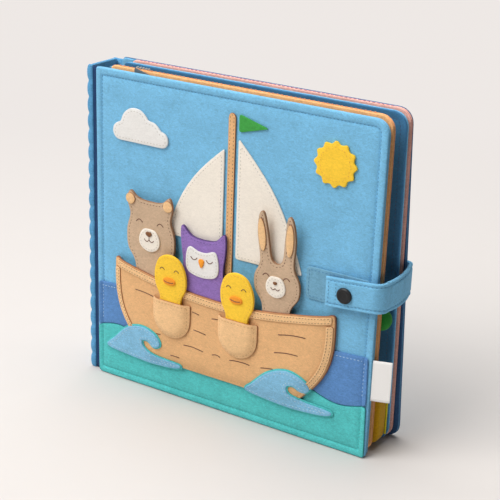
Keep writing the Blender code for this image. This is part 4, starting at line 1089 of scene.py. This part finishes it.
def make_strap():
    """Two lengths of one band: from its free end to the middle of the side,
    and from there to the sewn end."""
    line, middle = strap_line()
    piece = band("strap_front_felt", line[:middle + 1], ("strap_flap",), 0)
    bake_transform(piece)
    piece = band("strap_back_felt", line[middle:], ("strap_side", "strap_anchor"), 1)
    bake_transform(piece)
    front = even_path(line[(line[:, 1] < FLAP_END_Y - 0.0015) & (line[:, 0] > 0.2010)], 0.001)
    side = even_path(line[FLAP_POINTS + BEND_POINTS + 4:FLAP_POINTS + BEND_POINTS + 23], 0.001)
    z = STRAP_Z - 0.0006 + np.linspace(-0.0081, 0.0081, 20)
    ends = [path_of(x, FLAP_Y - 0.00125, z) for x in (0.2013, 0.2068)]
    stitches("strap_end_stitches", ends, BLUE_THREAD, "strap_flap", slot="sky_felt")
    for k, edge in enumerate((-1, 1)):
        row = strap_surface(front, edge)
        flat, bent = row[row[:, 0] < 0.2318], row[row[:, 0] >= 0.2310]
        stitches(f"strap_flap_stitches_{k}", [flat], BLUE_THREAD, "strap_flap", slot="sky_felt")
        stitches(f"strap_bend_stitches_{k}", [bent], BLUE_THREAD, "strap_flap", out=(0.7, -0.7, 0),
                 slot="sky_felt")
    stitches("strap_side_stitches", [strap_surface(side, edge) for edge in (-1, 1)], BLUE_THREAD,
             "strap_side", out=(1, 0, 0), slot="sky_felt")
    flat_felt("stud_tab", SHADED_TAB_BLUE, "front_cover", "sky_felt", spacing=0.003)
    low, high = corners("stud_tab")
    left, right, foot, top = low[0] + 0.0022, high[0] - 0.001, low[2] + 0.0022, high[2] - 0.0022
    rows = [path_of((left, right), low[1], foot), path_of((right, left, left), low[1], (top, top, foot))]
    stitches("tab_stitches", rows, BLUE_THREAD, "front_cover", slot="sky_felt")


def lathe(name, profile, centre, finish, body, nodes, count=64):
    """A turned piece: radius and depth pairs of a profile, turned round an axis along Y."""
    profile = np.asarray(profile, float)
    turns = np.linspace(0, 2 * math.pi, count, endpoint=False)
    rings = profile[1:-1]
    x = centre[0] + rings[:, 0:1] * np.cos(turns)
    z = centre[1] + rings[:, 0:1] * np.sin(turns)
    points = np.stack((x, np.repeat(rings[:, 1:2], count, axis=1), z), -1).reshape(-1, 3)
    points = np.vstack((points, (centre[0], profile[0, 1], centre[1]),
                        (centre[0], profile[-1, 1], centre[1])))
    return add_piece(name, points, turned_faces(len(rings), count), finish, body, nodes)


def make_press_stud():
    """The cap has a raised rim round a shallow dish, as a pressed plastic stud has. Its profile is in
    shares of its radius and its height."""
    low, high = corners("snap_cap")
    cx, cz = (low[0] + high[0]) / 2, (low[2] + high[2]) / 2
    base, tall, r = high[1], high[1] - low[1], (high[0] - low[0]) / 2
    shape = ((0, 0), (0.96, 0), (1.0, 0.12), (1.0, 0.35), (0.97, 0.58), (0.90, 0.80), (0.80, 0.94),
             (0.70, 1.0), (0.62, 0.98), (0.55, 0.90), (0.48, 0.83), (0.30, 0.80), (0.12, 0.79), (0, 0.79))
    profile = [(a * r, base - b * tall) for a, b in shape]
    lathe("snap_cap_plastic", profile, (cx, cz), SNAP, "strap_flap", ("snap_cap",))
    for node in ("snap_socket", "snap_stud"):
        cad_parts[node].data.materials.clear()
        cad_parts[node].data.materials.append(SNAP)


def make_label():
    """A folded blank tape in the edge seam: two plies joined by a round fold at the free end,
    a little bowed."""
    angle = math.radians(16)
    start = np.array((COVER_W - 0.0015, 0.0012))
    direction = np.array((math.cos(angle), math.sin(angle)))
    normal = np.array((-direction[1], direction[0]))
    length, half, fold, foot, tall = 0.0145, 0.00034, 0.0006, 0.0445, 0.030
    out = np.linspace(0, length - fold, 14)
    bend = np.radians(np.linspace(-90, 90, 7))
    front = start + direction * out[:, None] - normal * half
    tip = (start + direction * (length - fold) + direction * np.cos(bend)[:, None] * 0.0005
           + normal * np.sin(bend)[:, None] * half)
    back = start + direction * out[::-1, None] + normal * half
    line = np.vstack((front, tip[1:-1], back))
    bow = 0.0005 * np.sin(np.linspace(0, math.pi, len(line)))
    z = np.linspace(foot, foot + tall, 16)
    wave = 0.0003 * np.sin((z - foot) / tall * math.pi)
    x = np.repeat(line[:, 0:1], len(z), axis=1)
    y = line[:, 1:2] + (bow[:, None] + wave[None]) * np.clip((x - COVER_W) / length, 0, 1)
    points = np.stack((x, y, np.repeat(z[None], len(line), axis=0)), -1).reshape(-1, 3)
    rows, cols = len(line), len(z)
    r, c = np.meshgrid(np.arange(rows), np.arange(cols - 1), indexing="ij")
    a, b = (r * cols + c).ravel(), (((r + 1) % rows) * cols + c).ravel()
    faces = [np.column_stack((a, a + 1, b + 1, b)), np.arange(rows)[None, :] * cols,
             (np.arange(rows)[::-1][None, :]) * cols + cols - 1]
    add_piece("side_label_tape", points, faces, LABEL_TAPE, "front_cover", ("side_label",))


# The picture

def picture_felt(node, finish, slot, thread=None, thick=0.0012, seam=PICTURE_SEAM, line=None, **more):
    """A felt laid on the cover: its back is the cover's face and its front stands its thickness proud,
    with a sewn line near its edge."""
    line = resampled(cad_outline(node) if line is None else line, LINE_STEP, LINE_ROUNDING)
    back = lambda p: cover_face(p) - 0.0002
    face = lambda p: back(p) - thick + groove(distance(p, line), seam, 0.0006, 0.0002)
    felt(node + "_felt", line, face, back, finish, "front_cover", slot, (node,), **more)
    if thread:
        sewn_round(node + "_stitches", line, seam, face, thread, "front_cover", slot)
    return face


def band_line(node):
    """A band's outline, drawn on over the cover's right rim: near the foot almost to the edge."""
    line = cad_outline(node)
    reach = 0.0034 - 0.0016 * np.clip(line[:, 1] / SEA_TOP, 0, 1)
    line[:, 0] += np.where(line[:, 0] > 0.2290, reach, 0)
    return line


def make_water():
    """The two bands of water: each follows the cover, rim and seam groove included. Each is sewn along one
    line across the cover and one up each side."""
    rings = seam_rings(COVER_LINE)
    x = np.linspace(0.0050, COVER_W - 0.0060, 90)
    share = (x - 0.0020) / (COVER_W - 0.0065)
    swell = path_of(x, SEA_TOP - 0.0030 + 0.0020 * np.sin(2 * math.pi * share))
    foot = path_of(np.linspace(0.0064, COVER_W - 0.0064, 120), SEAM)
    bands = (("sea", DENIM, LIGHT_THREAD, "denim_felt", 0.08, swell, (0.046, 0.072)),
             ("wave", WAVE_TEAL, TEAL_THREAD, "teal_felt", 0.05, foot, (SEAM, 0.036)))
    faces = {}
    for name, finish, thread, slot, top, path, _ in bands:
        node = name + "_band"
        faces[name] = picture_felt(node, finish, slot, line=band_line(node), extra=rings[rings[:, 1] < top])
        stitches(name + "_stitches", [on(faces[name], path)], thread, "front_cover", slot=slot)
    for x, tag in ((SEAM, "left"), (COVER_W - SEAM, "right")):
        for name, _, thread, slot, _, _, (low, high) in bands[::-1]:
            path = path_of(x, np.linspace(low, high, 12))
            stitches(f"{name}_side_stitches_{tag}", [on(faces[name], path)], thread, "front_cover",
                     slot=slot)


def puffs(circles, centre, floor):
    """The outline round overlapping circles: on each ray from the centre, the farthest point on any circle.
    Between the first and the last circle its foot is flat, at the floor."""
    t = np.linspace(0, 2 * math.pi, 240, endpoint=False)
    ray = np.stack((np.cos(t), np.sin(t)), axis=1)
    reach = np.zeros(len(t))
    for x, z, radius in circles:
        gap = np.array((x, z)) - centre
        along = ray @ gap
        inside_root = radius ** 2 - (gap @ gap - along ** 2)
        reach = np.maximum(reach, np.where(inside_root > 0, along + np.sqrt(np.abs(inside_root)), 0))
    down = np.where(ray[:, 1] < -0.01, (floor - centre[1]) / np.minimum(ray[:, 1], -0.01), 0)
    foot = centre[0] + ray[:, 0] * down
    flat = (down > 0) & (foot > circles[0][0]) & (foot < circles[-1][0])
    line = np.array(centre) + ray * np.where(flat, down, reach)[:, None]
    line[:, 1] = np.maximum(line[:, 1], floor)
    return line


def make_sky():
    """What is above the boat's hull: the cloud, the sun, the mast and its sails and flag."""
    puff = puffs(((0.0235, 0.1968, 0.0068), (0.0365, 0.2030, 0.0125), (0.0500, 0.1990, 0.0090),
                  (0.0595, 0.1960, 0.0060)), (0.0420, 0.1965), 0.1902)
    picture_felt("cloud", WHITE, "white_felt", PALE_THREAD, thick=0.0016, line=puff)
    picture_felt("sun", YELLOW, "yellow_felt", GOLD_THREAD, thick=0.0016, seam=0.0030)
    picture_felt("mast", TAN, "tan_felt", BROWN_THREAD, seam=0.0015)
    picture_felt("large_sail", CREAM, "cream_felt", PALE_THREAD)
    picture_felt("small_sail", CREAM, "cream_felt", PALE_THREAD)
    picture_felt("flag", GREEN, "green_felt")


HULL = cad_outline("hull_pocket")
HULL_LINE = resampled(HULL, LINE_STEP, LINE_ROUNDING)
HULL_SEAM = 0.0030


def hull_lines():
    """The hull's sewn line, from its left tip along the keel to its right tip, and its mouth,
    back to the left."""
    line = resampled(HULL)
    turned = np.roll(line, -np.argmax(line[:, 1] - line[:, 0]), axis=0)
    end = int(np.argmax(turned[:, 1] + turned[:, 0]))
    return turned[:end + 1], turned[end:]


HULL_SEWN, HULL_MOUTH = hull_lines()


def hull_face(points):
    """y of the hull's front: at the sewn edge it lies on the cover,
    and it swells over the puppets inside."""
    gap = distance(points, HULL_SEWN, closed=False)
    rise = swelling(gap, 0.0065)
    uneven = ripples(points, 0.00025, 11) * rise
    return -(0.0034 + 0.0026 * rise) + groove(gap, HULL_SEAM, 0.0007, 0.0003) + uneven


def hull_back(points):
    """y of the hull's inner side: on the cover at the sewn rim,
    and a felt's thickness behind its front inside."""
    gap = distance(points, HULL_SEWN, closed=False)
    hollow = np.clip((gap - HULL_SEAM) / 0.0025, 0, 1)
    return -0.0006 + hollow * (hull_face(points) + 0.0012 + 0.0006)


def hull_trim():
    """The strips sewn on the hull: a rail below its mouth, and a post along each end,
    on the hull's own lines."""
    rail = HULL_MOUTH[2:-2]
    rail = np.vstack((rail - (0, 0.0008), rail[::-1] - (0, 0.0066)))
    normal = inward(np.vstack((HULL_SEWN, HULL_MOUTH[1:-1])))[:len(HULL_SEWN)]
    posts = []
    for part in (slice(6, 56), slice(len(HULL_SEWN) - 61, len(HULL_SEWN) - 6)):
        edge, into = HULL_SEWN[part], normal[part]
        posts.append(np.vstack((edge + into * 0.0010, (edge + into * 0.0062)[::-1])))
    return {"hull_rail": rail, "hull_post_left": posts[0], "hull_post_right": posts[1]}


def make_hull():
    """The hull pocket: one felt that bulges, a rail along its mouth, two posts, and sewn plank lines."""
    rings = np.vstack([inset(HULL_LINE, HULL_SEAM + s) for s in (-0.0015, 0.0, 0.0015)])
    felt("hull_felt", HULL_LINE, hull_face, hull_back, TAN, "front_cover", "tan_felt",
         ("hull_pocket",), edge=0.0010, spacing=0.0035, extra=rings)
    for name, line in hull_trim().items():
        top = patch_on(name, line, hull_face, PALE_TAN, "front_cover", "tan_felt", thick=0.0009)
        row = inset(anticlockwise(resampled(line, 0.0009)), 0.0014)
        stitches(name + "_stitches", [on(top, row)], BROWN_THREAD, "front_cover", pitch=0.0024,
                 length=0.0016, radius=0.00018, slot="tan_felt")
    path = inset(HULL_LINE, HULL_SEAM)
    sewn = opened(path[distance(path, HULL_SEWN, closed=False) < 0.0034])
    stitches("hull_edge_stitches", [on(hull_face, sewn)], TAN_THREAD, "front_cover", slot="tan_felt")
    make_planks()


def make_planks():
    """Four rows of sewn plank lines that sag with the hull.
    They stop short of its edge and of the patches."""
    keep = []
    for row, z in enumerate((0.082, 0.068, 0.054, 0.041)):
        left, right = 0.036 + 0.010 * row, 0.190 - 0.010 * row
        shift = 0.03 * (row % 2)
        for first, last in ((0.03, 0.17), (0.25, 0.40), (0.47, 0.53), (0.60, 0.75), (0.83, 0.97)):
            x = left + (right - left) * np.linspace(first + shift, min(last + shift, 1.0), 16)
            share = (x - 0.113) / 0.093
            bow = 0.0009 * np.sin(np.linspace(0, math.pi, len(x)))
            plank = path_of(x, z - 0.010 * (1 - share ** 2) + 0.002 + bow)
            clear = distance(plank, HULL_SEWN, closed=False) > 0.009
            for _, centre in DUCKS:
                clear &= np.hypot(plank[:, 0] - centre, plank[:, 1] - POCKET_FOOT - 0.016) > 0.019
            if clear.sum() > 4:
                keep.append(plank[clear])
    threads("hull_planks", [on(hull_face, even_path(k, 0.0015), -0.00002) for k in keep], 0.00036,
            BROWN_THREAD, "front_cover", "tan_felt")


def patch_face(centre):
    """y of a round pocket's front on the hull: sewn down along its U, swelling over the duckling."""
    turn = np.radians(np.linspace(180, 360, 24))
    bowl = path_of(centre + POCKET_RADIUS * np.cos(turn), POCKET_FOOT + POCKET_RADIUS * (1 + np.sin(turn)))
    top = POCKET_FOOT + 0.030
    line = np.vstack(((centre - POCKET_RADIUS, top), bowl, (centre + POCKET_RADIUS, top)))

    def face(points):
        gap = distance(points, line, closed=False)
        return -(0.0072 + 0.0033 * swelling(gap, 0.0035)) + groove(gap, PICTURE_SEAM, 0.0006, 0.0003)
    return face


def make_patches():
    """The two round pockets on the hull, each for one duckling."""
    for side, centre in DUCKS:
        node = "patch_" + side
        face = patch_face(centre)
        felt(node + "_felt", cad_outline(node), face, lambda p, f=face: f(p) + 0.0011, PALE_TAN,
             "front_cover", "tan_felt", (node,), edge=0.0005, spacing=0.002)
        path = inset(resampled(cad_outline(node)), PICTURE_SEAM)
        path = opened(path[path[:, 1] < 0.078])
        stitches(node + "_stitches", [on(face, path)], TAN_THREAD, "front_cover", slot="tan_felt")


def make_crests():
    """The rolling crests lie over the hull's lower corners and the water: each follows what is below it."""
    def under(p):
        gap = distance(p, HULL_SEWN, closed=False)
        return np.where(inside(p, HULL_LINE), hull_face(p), -0.0018 - groove(gap, 0, 0.006, 0.0008)) - 0.0001

    for node in ("wave_crest_left", "wave_crest_right"):
        line = resampled(cad_outline(node), LINE_STEP, LINE_ROUNDING)
        felt(node + "_backing", line - inward(line) * 0.0011, lambda p: under(p) - 0.0007, under, TEAL,
             "front_cover", "teal_felt", edge=0.0003, spacing=0.0025)
        face = lambda p: under(p) - 0.0016 + groove(distance(p, line), PICTURE_SEAM, 0.0006, 0.0002)
        felt(node + "_felt", line, face, lambda p: under(p) - 0.0006, FOAM, "front_cover", "foam_felt",
             (node,), spacing=0.0025)
        sewn_round(node + "_stitches", line, PICTURE_SEAM, face, LIGHT_THREAD, "front_cover", "foam_felt")


# Puppets

def tilt(high, amount, mouth):
    """How far a puppet's head leans forward: nothing below the pocket's mouth,
    growing with the square above it."""
    return lambda p: -amount * np.clip((p[:, 1] - mouth) / (high - mouth), 0, 1.3) ** 2


def make_puppet(name, finish, thread, slot, mouth, amount):
    """A finger puppet: two felts sewn round the edge, with a soft swelling between them."""
    (_, middle, _), (_, y_back, _) = corners(name + "_back")
    (_, y_front, _), (_, _, top) = corners(name + "_front")
    middle, seam = middle - 0.00015, 0.0021
    line = resampled(cad_outline(name + "_front"), 0.0011, 0.0009)
    lean = tilt(top, amount, mouth)

    def face(p):
        gap = distance(p, line)
        return y_front + lean(p) - 0.0004 * swelling(gap, 0.004, 2) + groove(gap, seam, 0.0006, 0.0002)

    felt(name + "_back_felt", line, lambda p: middle + lean(p), lambda p: y_back + lean(p), finish, name,
         slot, (name + "_back",), edge=0.0005)
    felt(name + "_front_felt", line, face, lambda p: middle - 0.0001 + lean(p), finish, name, slot,
         (name + "_front",), edge=0.0005, spacing=0.003)
    sewn_round(name + "_stitches", line, seam, face, thread, name, slot)
    return face


def patch_on(name, line, face, finish, body, slot, nodes=(), thick=0.0011, thread=None):
    """A small felt sewn onto another: it follows the felt below it."""
    line = resampled(anticlockwise(np.asarray(line, float)), 0.0009, 0.0006)
    top = lambda p: face(p) - thick
    felt(name, line, top, lambda p: face(p) + 0.0001, finish, body, slot, nodes, edge=0.0004, spacing=0.002,
         step=0.0009)
    if thread:
        sewn_round(name + "_stitches", line, 0.0018, top, thread, body, slot, pitch=0.0024, length=0.0017,
                   radius=0.00018)
    return top


def smile(cx, cz, width, depth):
    """A shallow arc in X and Z: a parabola, below the line for a positive depth."""
    t = np.linspace(-1, 1, 12)
    return path_of(cx + t * width / 2, cz - depth * (1 - t ** 2))


def pair(face, cx, apart, cz, width, depth):
    """Two arcs on a felt, one each side of a middle: eyes, or the halves of a mouth."""
    return [on(face, smile(cx + side * apart, cz, width, depth)) for side, _ in SIDES]


def middle_of(node):
    """The middle of a CAD node in x."""
    low, high = corners(node)
    return (low[0] + high[0]) / 2


def make_ears(name, face, cx, apart, cz, rx, rz, turn=0.0):
    """The pale felts inside a puppet's two ears."""
    for side, tag in SIDES:
        ear = ellipse(cx + side * apart, cz, rx, rz, side * turn)
        patch_on(f"{name}_ear_{tag}", ear, face, PALE_TAN, name, "taupe_felt")


def make_bear():
    """The bear: round ears, a snout with a sewn mouth, and closed eyes."""
    cx, base, tall = middle_of("bear_front"), 0.054, 0.104
    at = lambda share: base + tall * share
    face = make_puppet("bear", TAUPE, BROWN_THREAD, "taupe_felt", 0.098, 0.0018)
    make_ears("bear", face, cx, 0.0165, at(0.925), 0.0042, 0.0044)
    snout = patch_on("bear_snout_felt", cad_outline("bear_snout"), face, CREAM, "bear", "cream_felt",
                     ("bear_snout",), thread=PALE_THREAD)
    nose = spline([(cx - 0.0032, at(0.700)), (cx, at(0.712)), (cx + 0.0032, at(0.700)), (cx, at(0.672))])
    patch_on("bear_nose", nose, snout, BROWN, "bear", "taupe_felt", thick=0.0009)
    lines = pair(snout, cx, 0.0021, at(0.652), 0.0042, 0.0016)
    lines.append(on(snout, path_of(cx, (at(0.675), at(0.653)))))
    eyes = pair(face, cx, 0.0092, at(0.765), 0.0056, -0.0020)
    threads("bear_features", lines + eyes, 0.00032, BROWN_THREAD, "bear", "taupe_felt")


def make_owl():
    """The owl: one white disc for its face, a beak, and eyes that look down."""
    cx, cz = middle_of("owl_front"), 0.048 + 0.092 * 0.735
    face = make_puppet("owl", PURPLE, PURPLE_THREAD, "purple_felt", 0.094, 0.0009)
    disc = patch_on("owl_face_felt", cad_outline("owl_face"), face, WHITE, "owl", "white_felt",
                    ("owl_face",), thread=PALE_THREAD)
    beak = spline([(cx - 0.0026, cz + 0.0010), (cx, cz + 0.0022), (cx + 0.0026, cz + 0.0010),
                   (cx, cz - 0.0052)])
    patch_on("owl_beak", beak, disc, BEAK, "owl", "yellow_felt", thick=0.0010)
    eyes = pair(disc, cx, 0.0066, cz + 0.0022, 0.0056, 0.0020)
    threads("owl_features", eyes, 0.00034, BROWN_THREAD, "owl", "purple_felt")


def make_rabbit():
    """The rabbit: long ears, a small snout with a sewn mouth, and closed eyes."""
    cx, base, tall = middle_of("rabbit_front"), 0.050, 0.116
    face = make_puppet("rabbit", TAUPE, BROWN_THREAD, "taupe_felt", 0.094, 0.0050)
    make_ears("rabbit", face, cx, 0.0110, base + tall * 0.845, 0.0030, 0.0125, -0.06)
    snout = patch_on("rabbit_snout_felt", cad_outline("rabbit_snout"), face, CREAM, "rabbit", "cream_felt",
                     ("rabbit_snout",), thread=PALE_THREAD)
    cz = base + tall * 0.46
    nose = spline([(cx - 0.0022, cz + 0.0118), (cx, cz + 0.0124), (cx + 0.0022, cz + 0.0118),
                   (cx, cz + 0.0096)])
    patch_on("rabbit_nose", nose, snout, BROWN, "rabbit", "taupe_felt", thick=0.0009)
    lines = pair(snout, cx, 0.0018, cz + 0.0074, 0.0036, 0.0013)
    eyes = pair(face, cx, 0.0082, base + tall * 0.585, 0.0052, -0.0019)
    threads("rabbit_features", lines + eyes, 0.00032, BROWN_THREAD, "rabbit", "taupe_felt")


def make_ducks():
    """The two ducklings in the round pockets: a bill and closed eyes."""
    base, tall = 0.0575, 0.058
    bill_z = base + tall * 0.66
    for side, cx in DUCKS:
        name = "duck_" + side
        face = make_puppet(name, YELLOW, GOLD_THREAD, "yellow_felt", 0.080, 0.0020)
        top = patch_on(name + "_bill", ellipse(cx, bill_z, 0.0056, 0.0030), face, BEAK, name, "yellow_felt")
        line = [on(top, smile(cx, bill_z, 0.0080, 0.0008))]
        eyes = pair(face, cx, 0.0062, base + tall * 0.80, 0.0040, -0.0016)
        threads(name + "_features", line + eyes, 0.00030, BROWN_THREAD, name, "yellow_felt")


set_camera()
set_studio()
make_front_cover()
make_back_cover()
make_spine()
make_valleys()
make_pages()
make_gutters()
make_page_things()
make_strap()
make_press_stud()
make_label()
make_water()
make_sky()
make_hull()
make_patches()
make_crests()
make_bear()
make_owl()
make_rabbit()
make_ducks()
